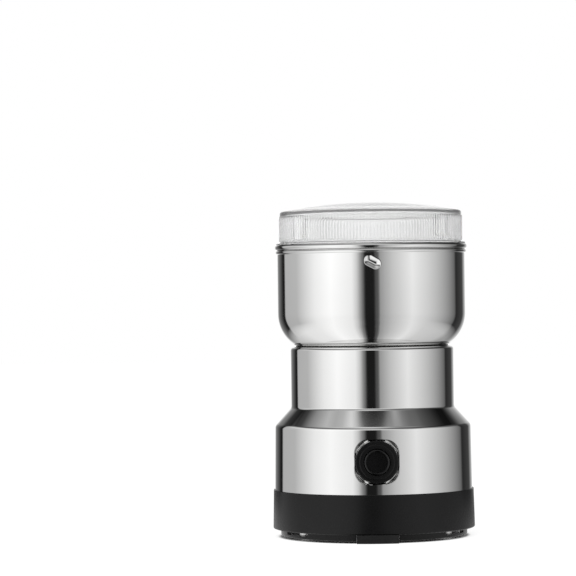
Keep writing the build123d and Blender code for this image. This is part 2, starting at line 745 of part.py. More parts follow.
with BuildPart() as field_coils:
    for side in (1, -1):
        with BuildSketch(Plane.YZ.offset(side * coil_inner_x)):
            with Locations((0, (stack_bottom + stack_top) / 2)):
                coil_bore_width = pole_width + 2 * coil_clear
                coil_bore_height = stack_height + 2 * coil_clear
                RectangleRounded(2 * coil_half_y, stack_height + 2 * coil_overhang, coil_corner)
                RectangleRounded(coil_bore_width, coil_bore_height, coil_bore_corner, mode=Mode.SUBTRACT)
        extrude(amount=side * coil_thickness)
field_coils.part.label = "field_coils"
export_step(field_coils.part, "parts/field_coils.step")

# ------------------------------------------------------------------------------------ brushes
brush_height = commutator_bottom + commutator_length / 2
holder_gap = 3.0  # between the commutator and the holders
holder_length = 17.0
holder_height = 12.0
holder_wall = 3.0
holder_end = 1.6
holder_inner = commutator_radius + holder_gap
holder_outer = holder_inner + holder_length
holder_half = brush_size / 2 + holder_wall
brush_start = commutator_radius + seat_fit
brush_length = 9.5
brush_room = brush_size / 2 + seat_fit
spring_start = brush_start + brush_length + seat_fit
spring_end = holder_outer - holder_end
brush_spring_radius = 1.8
brush_spring_wire = 0.3
brush_spring_turns = 4

with BuildPart() as brush_holders:
    for side in (1, -1):
        with Locations((side * (holder_inner + holder_outer) / 2, 0, lower_plate_top)):
            Box(holder_length, 2 * holder_half, holder_height, align=UP)
        with Locations((side * (holder_inner + spring_end) / 2, 0, brush_height)):
            Box(spring_end - holder_inner, 2 * brush_room, 2 * brush_room, mode=Mode.SUBTRACT)
brush_holders.part.label = "brush_holders"
export_step(brush_holders.part, "parts/brush_holders.step")

with BuildPart() as carbon_brushes:
    for side in (1, -1):
        with Locations((side * (brush_start + brush_length / 2), 0, brush_height)):
            Box(brush_length, brush_size, brush_size)
carbon_brushes.part.label = "carbon_brushes"
export_step(carbon_brushes.part, "parts/carbon_brushes.step")

with BuildPart() as brush_springs:
    for side in (1, -1):
        start = (side * (spring_start + brush_spring_wire), 0, brush_height)
        spring_length = spring_end - spring_start - 3 * brush_spring_wire
        coil(start, (side, 0, 0), brush_spring_radius, spring_length, brush_spring_turns, brush_spring_wire)
brush_springs.part.label = "brush_springs"
export_step(brush_springs.part, "parts/brush_springs.step")

# ------------------------------------------------------------------------------------ shaft
fan_gap = 1.0  # below the lower bearing
fan_top = lower_boss_bottom - fan_gap
shaft_tail = 9.5  # below the fan's disc
shaft_bottom = fan_top - shaft_tail
spacer_gap = 0.5
spacer_bottom = seal_top + spacer_gap
spacer_height = 4.0
washer_sheet = 1.0
shaft_thread = 3.5  # above the washer
lower_blade_seat = spacer_bottom + spacer_height
upper_blade_seat = lower_blade_seat + blade_sheet
washer_seat = upper_blade_seat + blade_sheet
nut_seat = washer_seat + washer_sheet
shaft_top = nut_seat + shaft_thread

with BuildPart() as motor_shaft:
    turned(
        [
            (0, shaft_bottom, 0),
            (shaft_radius, shaft_bottom, 0.4),
            (shaft_radius, spacer_bottom, 0),
            (shaft_end_radius, spacer_bottom, 0),
            (shaft_end_radius, shaft_top, 0.4),
            (0, shaft_top, 0),
        ]
    )
motor_shaft.part.label = "motor_shaft"
export_step(motor_shaft.part, "parts/motor_shaft.step")

# ------------------------------------------------------------------------------------ armature
slot_depth = 3.0  # from the armature's surface to the middle of a slot
slot_circle = armature_radius - slot_depth
slot_radius = 1.9
slot_mouth = 1.2
rotor_bore = shaft_radius + screw_fit

with BuildPart() as armature_core:
    with BuildSketch(Plane.XY.offset(stack_bottom)):
        Circle(armature_radius)
        Circle(rotor_bore, mode=Mode.SUBTRACT)
        with PolarLocations(slot_circle, armature_slots):
            Circle(slot_radius, mode=Mode.SUBTRACT)
            Rectangle(2 * slot_depth, slot_mouth, align=(Align.MIN, Align.CENTER), mode=Mode.SUBTRACT)
    extrude(amount=stack_height)
armature_core.part.label = "armature_core"
export_step(armature_core.part, "parts/armature_core.step")

head_gap = 0.3
head_bottom = commutator_top + head_gap
head_top = frame_plate_bottom - washer_room
head_rounding = 2.0
head_inner = rotor_bore + 2 * head_gap
head_outer = slot_circle + slot_radius
wire_bite = 1.5  # of the slots' wires in the rounded heads
bar_slot = 3.2
bar_gap = 0.5
riser_step = 1.2
riser_height = 2.0
washer_gap = 0.3
washer_step = 1.6

with BuildPart() as armature_windings:
    ring(head_inner, head_outer, head_bottom, stack_bottom - head_gap, head_rounding)
    ring(head_inner, head_outer, stack_top + head_gap, head_top, head_rounding)
    with PolarLocations(slot_circle, armature_slots):
        with Locations((0, 0, stack_bottom - wire_bite)):
            Cylinder(slot_radius - head_gap, stack_height + 2 * wire_bite, align=UP)
armature_windings.part.label = "armature_windings"
export_step(armature_windings.part, "parts/armature_windings.step")

with BuildPart() as commutator:
    ring(rotor_bore, commutator_radius, commutator_bottom, commutator_top)
    ring(rotor_bore, commutator_radius + riser_step, commutator_top - riser_height, commutator_top)
    with BuildSketch(Plane.XY.offset(commutator_bottom)):
        with PolarLocations(commutator_radius, armature_slots):
            Rectangle(bar_slot, bar_gap)
    extrude(amount=commutator_length, mode=Mode.SUBTRACT)
commutator.part.label = "commutator"
export_step(commutator.part, "parts/commutator.step")

with BuildPart() as thrust_washers:
    ring(rotor_bore, bearing_outer - wall_bite, lower_plate_top + washer_gap, commutator_bottom - washer_gap)
    ring(rotor_bore, shaft_radius + washer_step, head_top + washer_gap, frame_plate_bottom - washer_gap)
thrust_washers.part.label = "thrust_washers"
export_step(thrust_washers.part, "parts/thrust_washers.step")

# ------------------------------------------------------------------------------------ fan
fan_disc = 1.4
fan_height = 7.5
fan_hub = 5.5
fan_eye = 7.0
fan_blade = 1.2
fan_blade_lean = 24.0
fan_rim = 0.5  # from the blades to the disc's edge

with BuildPart() as cooling_fan:
    ring(rotor_bore, fan_radius, fan_top - fan_disc, fan_top)
    ring(rotor_bore, fan_hub, shaft_bottom + fan_rim, fan_top)
    with PolarLocations((fan_radius - fan_rim + fan_eye) / 2, fan_blades):
        with Locations(Location((0, 0, fan_top - fan_height), (0, 0, fan_blade_lean))):
            Box(fan_radius - fan_rim - fan_eye, fan_blade, fan_height - fan_disc / 2, align=UP)
cooling_fan.part.label = "cooling_fan"
export_step(cooling_fan.part, "parts/cooling_fan.step")

# ------------------------------------------------------------------------------------ blades
hub_radius = 8.0
spacer_taper = 1.2
washer_radius = 5.5
blade_bend = 6.0
blade_bevel = 0.9  # ground along the upper side of the cutting edges
blade_bore = shaft_end_radius + screw_fit


def bent_blade(rise, seat, turn):
    """Twin-armed blade with swept, ground edges; its tips are bent up by rise, and it is turned on the shaft."""
    bend_start = 0.5 * blade_reach

    def is_cutting_edge(edge):
        """Whether an edge runs along the upper side of either arm's curved front."""
        middle = edge.position_at(0.5)
        run = edge.tangent_at(0.5)
        bent_by = rise * max(abs(middle.X) - bend_start, 0) / (blade_reach + 1 - bend_start)
        upper = middle.Z > bent_by + blade_sheet / 2
        return middle.X * middle.Y > 0 and upper and abs(run.Y) < 0.9 and abs(run.Z) < 0.9

    half_strip = [(0, 0), (bend_start, 0), (blade_reach + 1, rise)]
    top = [(x, z + blade_sheet) for x, z in half_strip]
    with BuildPart() as blade:
        with BuildSketch(Plane.XZ.offset(-2 * hub_radius)):
            with BuildLine():
                right_side = half_strip + top[::-1]
                FilletPolyline(right_side, radius=[0, blade_bend, 0, 0, blade_bend, 0], close=True)
            make_face()
            mirror(about=Plane.YZ)
        extrude(amount=4 * hub_radius)
        with BuildSketch(Plane.XY.offset(-blade_reach)) as outline:
            Circle(hub_radius)
            with BuildLine() as arm:
                tip, heel = (blade_reach, -0.5), (0.93 * blade_reach, -0.68 * blade_root)
                ThreePointArc((0, blade_root), (0.62 * blade_reach, blade_belly), tip)
                Line(tip, heel)
                ThreePointArc(heel, (0.5 * blade_reach, -0.5 * blade_belly), (0, -blade_root))
                Line((0, -blade_root), (0, blade_root))
            make_face()
            with PolarLocations(0, 2, start_angle=180):
                add(make_face(arm.edges(), mode=Mode.PRIVATE))
            Circle(blade_bore, mode=Mode.SUBTRACT)
        extrude(amount=2 * blade_reach, mode=Mode.INTERSECT)
        chamfer(blade.edges().filter_by(is_cutting_edge), length=blade_bevel)
    return blade.part.rotate(Axis.Z, turn).translate((0, 0, seat))


with BuildPart() as lower_blade:
    add(bent_blade(-lower_blade_drop, lower_blade_seat, 20.0))
lower_blade.part.label = "lower_blade"
export_step(lower_blade.part, "parts/lower_blade.step")

with BuildPart() as upper_blade:
    add(bent_blade(upper_blade_rise, upper_blade_seat, 110.0))
upper_blade.part.label = "upper_blade"
export_step(upper_blade.part, "parts/upper_blade.step")

with BuildPart() as blade_spacer:
    turned(
        [
            (blade_bore, spacer_bottom, 0),
            (hub_radius, spacer_bottom, 0.4),
            (hub_radius - spacer_taper, spacer_bottom + spacer_height, 0.4),
            (blade_bore, spacer_bottom + spacer_height, 0),
        ]
    )
blade_spacer.part.label = "blade_spacer"
export_step(blade_spacer.part, "parts/blade_spacer.step")

with BuildPart() as blade_washer:
    ring(blade_bore, washer_radius, washer_seat, nut_seat, 0.2)
blade_washer.part.label = "blade_washer"
export_step(blade_washer.part, "parts/blade_washer.step")

nut_hex = 4.0  # half of its width across flats
nut_hex_height = 4.0
nut_dome_radius = 3.6
nut_dome_sink = 1.0
nut_end_gap = 0.3  # over the shaft's end

with BuildPart() as blade_nut:
    with BuildSketch(Plane.XY.offset(nut_seat)):
        RegularPolygon(nut_hex, 6, major_radius=False)
    extrude(amount=nut_hex_height)
    with Locations((0, 0, nut_seat + nut_hex_height - nut_dome_sink)):
        Sphere(nut_dome_radius)
    with Locations((0, 0, nut_seat)):
        below = (Align.CENTER, Align.CENTER, Align.MAX)
        Cylinder(2 * nut_dome_radius, 2 * nut_dome_radius, align=below, mode=Mode.SUBTRACT)
    with Locations((0, 0, nut_seat)):
        Cylinder(blade_bore, shaft_thread + nut_end_gap, align=UP, mode=Mode.SUBTRACT)
blade_nut.part.label = "blade_nut"
export_step(blade_nut.part, "parts/blade_nut.step")

# ------------------------------------------------------------------------------------ button and bezel
bezel_flange = 2.0
bezel_chamfer = 0.5
collar_rise = 0.9
collar_chamfer = 0.35
barrel_length = 8.0  # behind the pocket's floor
lip_setback = 0.6
flange_fit = 0.3
collar_front = pocket_floor + bezel_flange + collar_rise
barrel_back = pocket_floor - barrel_length
retaining_lip = pocket_floor - lip_setback
button_flange_radius = barrel_wide - flange_fit
button_flange = 1.5
button_stand = 1.2  # proud of the collar
button_edge = 0.8
button_face = collar_front + button_stand
stem_radius = 2.0
carrier_wall = 1.4
stem_end = barrel_back - carrier_wall
dish_radius = 16.0
dish_depth = 0.9


def barrel(radius, back, front, mode=Mode.ADD, taper=0):
    """Round block on the button's axis between two distances from the motor's axis."""
    with BuildSketch(Plane.XZ.offset(back)) as end:
        with Locations((0, button_height)):
            Circle(radius)
    extrude(end.sketch, amount=front - back, mode=mode, taper=taper)


with BuildPart() as button_bezel:
    barrel(bezel_radius, pocket_floor, pocket_floor + bezel_flange)
    chamfer(button_bezel.edges().group_by(Axis.Y)[0], length=bezel_chamfer)
    barrel(collar_radius, pocket_floor + bezel_flange - wall_bite, collar_front)
    chamfer(button_bezel.edges().group_by(Axis.Y)[0], length=collar_chamfer)
    barrel(barrel_radius, barrel_back, pocket_floor + wall_bite)
    barrel(button_radius + slide_fit, barrel_back, collar_front, Mode.SUBTRACT)
    barrel(barrel_wide, barrel_back, retaining_lip, Mode.SUBTRACT)
button_bezel.part.label = "button_bezel"
export_step(button_bezel.part, "parts/button_bezel.step")

with BuildPart() as button_cap:
    barrel(button_radius, retaining_lip - button_flange, button_face)
    fillet(button_cap.edges().group_by(Axis.Y)[0], radius=button_edge)
    with Locations((0, -(button_face - dish_depth + dish_radius), button_height)):
        Sphere(dish_radius, mode=Mode.SUBTRACT)
    barrel(button_flange_radius, retaining_lip - seat_fit - button_flange, retaining_lip - seat_fit)
    barrel(stem_radius, stem_end, retaining_lip - button_flange)
button_cap.part.label = "button_cap"
export_step(button_cap.part, "parts/button_cap.step")

button_spring_radius = 3.3
button_spring_wire = 0.35
button_spring_turns = 3.5

with BuildPart() as button_spring:
    spring_front = retaining_lip - seat_fit - button_flange - button_spring_wire - screw_fit
    spring_length = spring_front - barrel_back - 1.5 * button_spring_wire
    start = (0, -spring_front, button_height)
    coil(start, (0, 1, 0), button_spring_radius, spring_length, button_spring_turns, button_spring_wire)
button_spring.part.label = "button_spring"
export_step(button_spring.part, "parts/button_spring.step")

# ------------------------------------------------------------------------------------ switch
switch_clear = 0.2  # left when the button is pressed
switch_front = stem_end - button_travel - switch_clear
switch_length = 10.0
switch_half_x = 9.0
switch_half_z = 7.5
switch_corner = 1.5
carrier_side = 2.0
carrier_grip = 1.8  # round the bezel's barrel
carrier_end = 1.0
carrier_back = switch_front - switch_length - carrier_end
plunger_radius = 1.5
plunger_room = 1.3
terminal_spread = 5.0
terminal_sheet = 0.8
terminal_breadth = 4.8
terminal_stand = 2.2


def block(half_x, half_z, back, front, mode=Mode.ADD):
    """Square block on the button's axis between two distances from the motor's axis."""
    with BuildSketch(Plane.XZ.offset(back)) as end:
        with Locations((0, button_height)):
            RectangleRounded(2 * half_x, 2 * half_z, switch_corner)
    extrude(end.sketch, amount=front - back, mode=mode)


with BuildPart() as switch_carrier:
    barrel(barrel_radius + carrier_grip, barrel_back, pocket_floor - steel_sheet)
    barrel(barrel_radius + seat_fit, barrel_back, pocket_floor, Mode.SUBTRACT)
    block(switch_half_x + carrier_side, switch_half_z + carrier_side, carrier_back, barrel_back)
    block(switch_half_x + seat_fit, switch_half_z + seat_fit, carrier_back, stem_end, Mode.SUBTRACT)
    barrel(stem_radius + slide_fit, stem_end - wall_bite, barrel_back, Mode.SUBTRACT)
switch_carrier.part.label = "switch_carrier"
export_step(switch_carrier.part, "parts/switch_carrier.step")

with BuildPart() as switch_body:
    block(switch_half_x, switch_half_z, switch_front - switch_length, switch_front)
    barrel(plunger_radius + slide_fit, switch_front - switch_length + carrier_end, switch_front, Mode.SUBTRACT)
    terminal_y = -(switch_front - switch_length) + terminal_stand
    with Locations((terminal_spread, terminal_y, button_height), (-terminal_spread, terminal_y, button_height)):
        Box(terminal_sheet, terminal_breadth, terminal_breadth)
switch_body.part.label = "switch_body"
export_step(switch_body.part, "parts/switch_body.step")

with BuildPart() as switch_plunger:
    plunger_front = stem_end - seat_fit
    plunger_back = switch_front - switch_length + plunger_room + button_travel
    barrel(plunger_radius, plunger_back, plunger_front)
    fillet(switch_plunger.edges().group_by(Axis.Y)[0], radius=0.5)
switch_plunger.part.label = "switch_plunger"
export_step(switch_plunger.part, "parts/switch_plunger.step")

# ------------------------------------------------------------------------------------ cord gland
gland_bore = 3.3
gland_stand = 2.0  # flange proud of the base ring
gland_flange = 1.2  # wider than the notch all round
gland_inner_flange = 2.0

with BuildPart() as cord_gland:
    # the tongue that fills the notch, down to the ring's lower edge
    with BuildSketch(Plane.XZ.offset(-(ring_inner - seat_fit))) as notch_end:
        with Locations((0, ring_bottom)):
            tongue_height = gland_height + gland_half - ring_bottom
            Rectangle(2 * gland_half, tongue_height, align=(Align.CENTER, Align.MIN))
    extrude(notch_end.sketch, amount=-(base_radius - base_flare - ring_inner + seat_fit))
    # round flanges inside and outside the wall
    with BuildSketch(Plane.XZ.offset(-(ring_inner - seat_fit))) as inner_flange:
        with Locations((0, gland_height)):
            Circle(gland_half + gland_flange)
    extrude(inner_flange.sketch, amount=gland_inner_flange)
    with BuildSketch(Plane.XZ.offset(-(ring_inner + moulded_wall / 2))) as outer_flange:
        with Locations((0, gland_height)):
            Circle(gland_half + gland_flange)
    extrude(outer_flange.sketch, amount=-(moulded_wall / 2 + gland_stand))
    chamfer(cord_gland.edges().group_by(Axis.Y)[-1], length=0.6)
    add(base_ring.part, mode=Mode.SUBTRACT)
    with BuildSketch(Plane.XZ.offset(-(ring_inner - 2 * gland_inner_flange))) as bore_end:
        with Locations((0, gland_height)):
            Circle(gland_bore)
    extrude(bore_end.sketch, amount=-4 * moulded_wall - 4 * gland_stand, mode=Mode.SUBTRACT)
cord_gland.part.label = "cord_gland"
export_step(cord_gland.part, "parts/cord_gland.step")

# ------------------------------------------------------------------------------------ lid
skirt_bottom = rim_top - lid_skirt_depth
lid_wall_radius = lid_rib_radius - lid_rib_depth
dimple_clear = 0.3  # between the skirt and the dimples' backs
skirt_wall = 1.8
skirt_radius = bowl_inner - dimple_depth - dimple_clear
lid_inner = skirt_radius - skirt_wall
lid_lip_reach = 0.3  # past the middle of the bowl's curled edge
lid_lip_radius = bowl_inner + curl_radius + lid_lip_reach
lid_edge_rounding = 1.2
lid_hollow_rounding = 3.0
lid_hollow_drop = 1.6  # of the hollow's edge below the lid's
rib_foot = 1.0  # plain wall below the ribs
rib_head = 1.3  # and above them
rib_bottom = lid_wall_bottom + rib_foot
rib_top = lid_edge - rib_head
ridge_radius = bowl_inner - turn_fit
ridge_length = 12.0
ridge_width = 1.6
bump_reach = sqrt((dimple_cross + steel_sheet) ** 2 - (dimple_cross - dimple_depth + steel_sheet) ** 2)
ridge_clear = 0.35  # between a ridge and the dimple's back
ridge_drop = bump_reach + ridge_clear + ridge_width / 2
groove_drop = 2.0
groove_width = 2.0
groove_depth = 0.8
groove_top = rim_top - groove_drop
groove_bottom = groove_top - groove_width

with BuildPart() as lid_ridge:
    ridge_origin = (0, 0, dimple_height)
    ridge_plane = Plane(origin=ridge_origin, x_dir=slant_dir, z_dir=(0, -1, 0))
    with BuildSketch(ridge_plane.offset(skirt_radius - skirt_wall)):
        with Locations((0, -ridge_drop)):
            SlotOverall(ridge_length, ridge_width)
    extrude(amount=2 * skirt_wall)
    with Locations((0, 0, dimple_height)):
        Cylinder(ridge_radius, 2 * ridge_length, mode=Mode.INTERSECT)

rib_points = []
for step in range(2 * lid_rib_count):
    rib_reach = lid_rib_radius if step % 2 == 0 else lid_wall_radius
    rib_angle = pi * step / lid_rib_count
    rib_points.append((rib_reach * cos(rib_angle), rib_reach * sin(rib_angle)))

with BuildPart() as lid:
    with BuildSketch(Plane.XY.offset(rib_bottom)):
        Polygon(*rib_points, align=None)
    extrude(amount=rib_top - rib_bottom)
    domed(lid_wall_radius - seat_fit, rim_top, lid_edge, lid_top, lid_edge_rounding, Mode.ADD)
    ring(0, skirt_radius, skirt_bottom, rim_top, 0.5)
    ring(skirt_radius - wall_bite, lid_lip_radius, rim_top, lid_wall_bottom, 0.2)
    hollow_edge = lid_edge - lid_hollow_drop
    domed(lid_inner, skirt_bottom, hollow_edge, lid_top - lid_wall, lid_hollow_rounding, Mode.SUBTRACT)
    ring(skirt_radius - groove_depth, skirt_radius + wall_bite, groove_bottom, groove_top, mode=Mode.SUBTRACT)
    with PolarLocations(0, dimple_count):
        add(lid_ridge.part)
    ring(0, lid_inner, skirt_bottom - ridge_length, rim_top, mode=Mode.SUBTRACT)
lid.part.label = "lid"
export_step(lid.part, "parts/lid.step")

# ------------------------------------------------------------------------------------ lid seal
seal_squeeze_gap = 0.3  # left beside the bowl's wall

with BuildPart() as lid_seal:
    ring(
        skirt_radius - groove_depth + seat_fit,
        bowl_inner - seal_squeeze_gap,
        groove_bottom + seat_fit,
        groove_top - seat_fit,
        0.5,
    )
lid_seal.part.label = "lid_seal"
export_step(lid_seal.part, "parts/lid_seal.step")
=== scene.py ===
"""Electric spice grinder: the visible pieces, their finishes and a small studio.

Run as a script. The frame gives the solids, in metres, with +Z up along the motor's axis and the push button
towards -Y. Angles round the axis are measured from the front, positive towards +X.
"""

import json
from math import atan2, ceil, cos, hypot, pi, radians, sin, tan

import bmesh
import bpy
import numpy as np
from bpy.props import FloatProperty, FloatVectorProperty, IntProperty, PointerProperty
from mathutils import Matrix, Vector

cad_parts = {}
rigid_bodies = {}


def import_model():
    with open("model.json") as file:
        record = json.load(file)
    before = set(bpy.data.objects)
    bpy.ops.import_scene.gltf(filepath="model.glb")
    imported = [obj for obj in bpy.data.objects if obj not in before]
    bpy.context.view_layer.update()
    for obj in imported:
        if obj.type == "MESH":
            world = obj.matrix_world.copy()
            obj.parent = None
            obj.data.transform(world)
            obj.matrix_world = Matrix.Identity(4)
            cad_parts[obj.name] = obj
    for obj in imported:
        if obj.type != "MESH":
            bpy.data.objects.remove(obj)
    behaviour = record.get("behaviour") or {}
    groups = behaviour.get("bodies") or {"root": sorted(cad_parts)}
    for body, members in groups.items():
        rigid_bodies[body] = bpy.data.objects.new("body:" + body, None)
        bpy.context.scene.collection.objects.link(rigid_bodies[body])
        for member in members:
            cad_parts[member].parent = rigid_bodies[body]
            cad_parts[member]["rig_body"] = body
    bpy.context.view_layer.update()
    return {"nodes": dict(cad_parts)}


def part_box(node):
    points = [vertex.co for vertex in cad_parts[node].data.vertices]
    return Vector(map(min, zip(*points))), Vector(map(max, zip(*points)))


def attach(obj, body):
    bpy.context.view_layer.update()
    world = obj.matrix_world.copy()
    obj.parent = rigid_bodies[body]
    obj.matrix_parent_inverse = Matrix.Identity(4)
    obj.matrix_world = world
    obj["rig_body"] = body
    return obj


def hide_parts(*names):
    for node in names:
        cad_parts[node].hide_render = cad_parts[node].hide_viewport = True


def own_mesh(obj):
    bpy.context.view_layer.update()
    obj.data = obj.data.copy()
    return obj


bl_info = {
    "name": "Spice grinder",
    "version": (1, 0, 0),
    "blender": (4, 5, 0),
    "location": "3D View > Sidebar > Grinder",
    "description": "Builds the bowl, housing, lid, button, finishes and studio of an electric spice grinder",
    "category": "Object",
}

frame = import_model()
NODES = frame["nodes"]
MM = 0.001

# The dimples that close the lid stand evenly round the bowl
DIMPLES = 3
DIMPLE_PITCH = 2 * pi / DIMPLES

# Columns of the turned meshes, and the step between columns where a form is pressed into them
COLUMNS = 240
BEZEL_COLUMNS = 160
CAP_COLUMNS = 128
DRILL_COLUMNS = 96
FINE_COLUMN = radians(0.22)


def top_of(node):
    """Height of a node's highest point."""
    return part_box(node)[1].z


def bottom_of(node):
    """Height of a node's lowest point."""
    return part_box(node)[0].z


def front_of(node):
    """How far a node reaches towards the front of the motor's axis."""
    return -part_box(node)[0].y


def back_of(node):
    """How far to the front of the motor's axis a node's back stands."""
    return -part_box(node)[1].y


def half_width(node):
    """Half of a node's size along X."""
    low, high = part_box(node)
    return (high.x - low.x) / 2


# ------------------------------------------------------------------------------------ settings
def length(name, description, default, **more):
    """A size in metres."""
    return FloatProperty(name=name, description=description, default=default, unit="LENGTH", precision=5, **more)


def angle(name, description, degrees):
    """An angle, kept in radians."""
    return FloatProperty(name=name, description=description, default=radians(degrees), unit="ROTATION")


def share(name, description, default):
    """A number from 0 to 1."""
    return FloatProperty(name=name, description=description, default=default, min=0, max=1, subtype="FACTOR")


def colour(name, description, default):
    """A linear colour."""
    return FloatVectorProperty(
        name=name, description=description, default=default, size=3, min=0, max=1, subtype="COLOR"
    )


class SteelSizes(bpy.types.PropertyGroup):
    sheet: length("Sheet", "Thickness of the drawn steel", 0.8 * MM)
    body_taper: length("Body taper", "How much slimmer the body is at its shoulder", 0.5 * MM)
    body_height: length("Body height", "Lower steel body, up to the shoulder's corner", 35.4 * MM)
    shoulder_height: length("Shoulder height", "Rise of the sloping shoulder", 9.3 * MM)
    neck_radius: length("Neck radius", "Outside of the neck", 42.15 * MM)
    flange_radius: length("Flange radius", "Inner edge of the flange under the bowl", 36.5 * MM)
    shoulder_bend: length("Shoulder bend", "Bend at the shoulder's outer corner", 3.4 * MM)
    neck_bend: length("Neck bend", "Bend where the shoulder meets the neck", 2.2 * MM)
    flange_bend: length("Flange bend", "Bend at the top of the neck", 1.8 * MM)
    pocket_margin: length("Pocket margin", "Between the bezel and the pocket's wall", 0.15 * MM)
    pocket_wall: length("Pocket wall", "Breadth of the pocket's wall beside the bezel", 0.3 * MM)
    pocket_corner: length("Pocket corner", "Corner radius of the pocket's outline", 7.0 * MM)
    corner_hollow: length("Corner hollow", "How much deeper the pocket is at its corners", 1.3 * MM)
    barrel_hole: length("Barrel hole", "Radius of the hole behind the bezel", 8.5 * MM)
    bowl_radius: length("Bowl radius", "Outside of the bowl's wall", 48.5 * MM)
    bowl_floor: length("Bowl floor", "Radius of the level part of the floor", 30.0 * MM)
    bowl_foot: length("Bowl foot", "Radius where the corner starts, over the housing's flange", 39.7 * MM)
    foot_rise: length("Foot rise", "How much higher the foot is than the floor", 0.85 * MM)
    gasket_inset: length("Gasket inset", "How far the gasket stays inside the flange and the foot", 0.4 * MM)
    bowl_corner: length("Bowl corner", "Outer radius between the bowl's wall and its foot", 20.0 * MM)
    corner_height: length("Corner height", "From the floor to where the wall and the corner's slope meet", 8.38 * MM)
    bowl_height: length("Bowl height", "From the bowl's underside to its lower bead", 48.1 * MM)
    bead_height: length("Bead height", "Height of the lower bead", 2.2 * MM)
    bead_swell: length("Bead swell", "How far the lower bead stands out", 0.8 * MM)
    curl_radius: length("Curl radius", "Half breadth of the bowl's rolled edge", 1.0 * MM)
    curl_height: length("Curl height", "Height of the bowl's rolled edge", 2.8 * MM)
    shaft_hole: length("Shaft hole", "Radius of the hole in the bowl's floor", 8.0 * MM)
    dimple_drop: length("Dimple drop", "From the rim down to the dimples' middle", 9.8 * MM)
    dimple_length: length("Dimple length", "Length of a pressed dimple", 9.2 * MM)
    dimple_width: length("Dimple width", "Width of a pressed dimple", 5.5 * MM)
    dimple_depth: length("Dimple depth", "Depth of a pressed dimple", 1.2 * MM)
    dimple_slant: angle("Dimple slant", "How much the dimples lean from level", 28.0)
    dimple_turn: angle("Dimple turn", "How far the first dimple is turned from the front", -1.2)
    dimple_lip: share("Dimple lip", "Where the hollow turns into its rounded lip", 0.8)


class LidSizes(bpy.types.PropertyGroup):
    rib_count: IntProperty(name="Ribs", description="Grip ribs round the wall", default=180, min=24)
    rib_depth: length("Rib depth", "How far a rib stands out", 0.35 * MM)
    rib_radius: length("Rib radius", "Outside of the ribs", 47.35 * MM)
    top: length("Top", "Thickness of the domed top", 2.4 * MM)
    lip_radius: length("Lip radius", "Outside of the thin lip on the bowl's rim", 49.0 * MM)
    lip_height: length("Lip height", "Thickness of that lip", 0.7 * MM)
    edge_drop: length("Edge drop", "From the crown down to the top edge", 4.5 * MM)
    edge_round: length("Edge round", "Rounding of the top edge", 1.2 * MM)
    skirt_radius: length("Skirt radius", "Outside of the skirt in the bowl", 46.2 * MM)
    skirt_wall: length("Skirt wall", "Thickness of the skirt", 1.8 * MM)
    ridge_height: length("Ridge height", "How far the closing ridges stand out", 1.1 * MM)
    ridge_length: length("Ridge length", "Length of a closing ridge", 12.0 * MM)
    ridge_width: length("Ridge width", "Width of a closing ridge", 1.6 * MM)
    ridge_drop: length("Ridge drop", "From a dimple's middle down to its ridge, across the slant", 4.14 * MM)


class ButtonSizes(bpy.types.PropertyGroup):
    height: length("Height", "Height of the button's axis", 40.8 * MM)
    radius: length("Radius", "Radius of the push button", 6.35 * MM)
    gap: length("Gap", "Clearance round the button", 0.25 * MM)
    collar_radius: length("Collar radius", "Radius of the bezel's raised collar", 8.85 * MM)
    collar_rise: length("Collar rise", "How far the collar stands out of the flange", 0.9 * MM)
    flange: length("Flange", "Thickness of the bezel's flange", 2.0 * MM)
    barrel_radius: length("Barrel radius", "Radius of the barrel behind the flange", 8.4 * MM)
    barrel_wall: length("Barrel wall", "Wall of the barrel", 0.7 * MM)
    dish: length("Dish", "Depth of the hollow in the button's face", 0.9 * MM)
    travel: length("Travel", "How far the button goes in", 3.0 * MM)


class Colours(bpy.types.PropertyGroup):
    steel: colour("Polished steel", "Bowl, housing and blades", (0.80, 0.80, 0.795))
    fittings: colour("Fittings", "Screws, studs, shaft and springs", (0.62, 0.62, 0.61))
    laminations: colour("Laminations", "Varnished motor cores", (0.30, 0.30, 0.31))
    black: colour("Black plastic", "Base, cover, bezel and seal", (0.0048, 0.0048, 0.0049))
    button: colour("Button", "Push button", (0.003, 0.003, 0.0031))
    rubber: colour("Rubber", "Feet, gasket and cord bush", (0.009, 0.009, 0.009))
    clear: colour("Clear plastic", "Lid", (0.993, 0.995, 0.995))
    silicone: colour("Silicone", "Lid seal", (0.86, 0.87, 0.87))
    frame_grey: colour("Motor frame", "Glass filled mouldings", (0.055, 0.055, 0.058))
    phenolic: colour("Phenolic", "Brush holders and switch", (0.16, 0.075, 0.04))
    bronze: colour("Bronze", "Bearings", (0.55, 0.36, 0.18))
    copper: colour("Copper", "Windings and commutator", (0.72, 0.36, 0.20))
    carbon: colour("Carbon", "Brushes", (0.03, 0.03, 0.031))


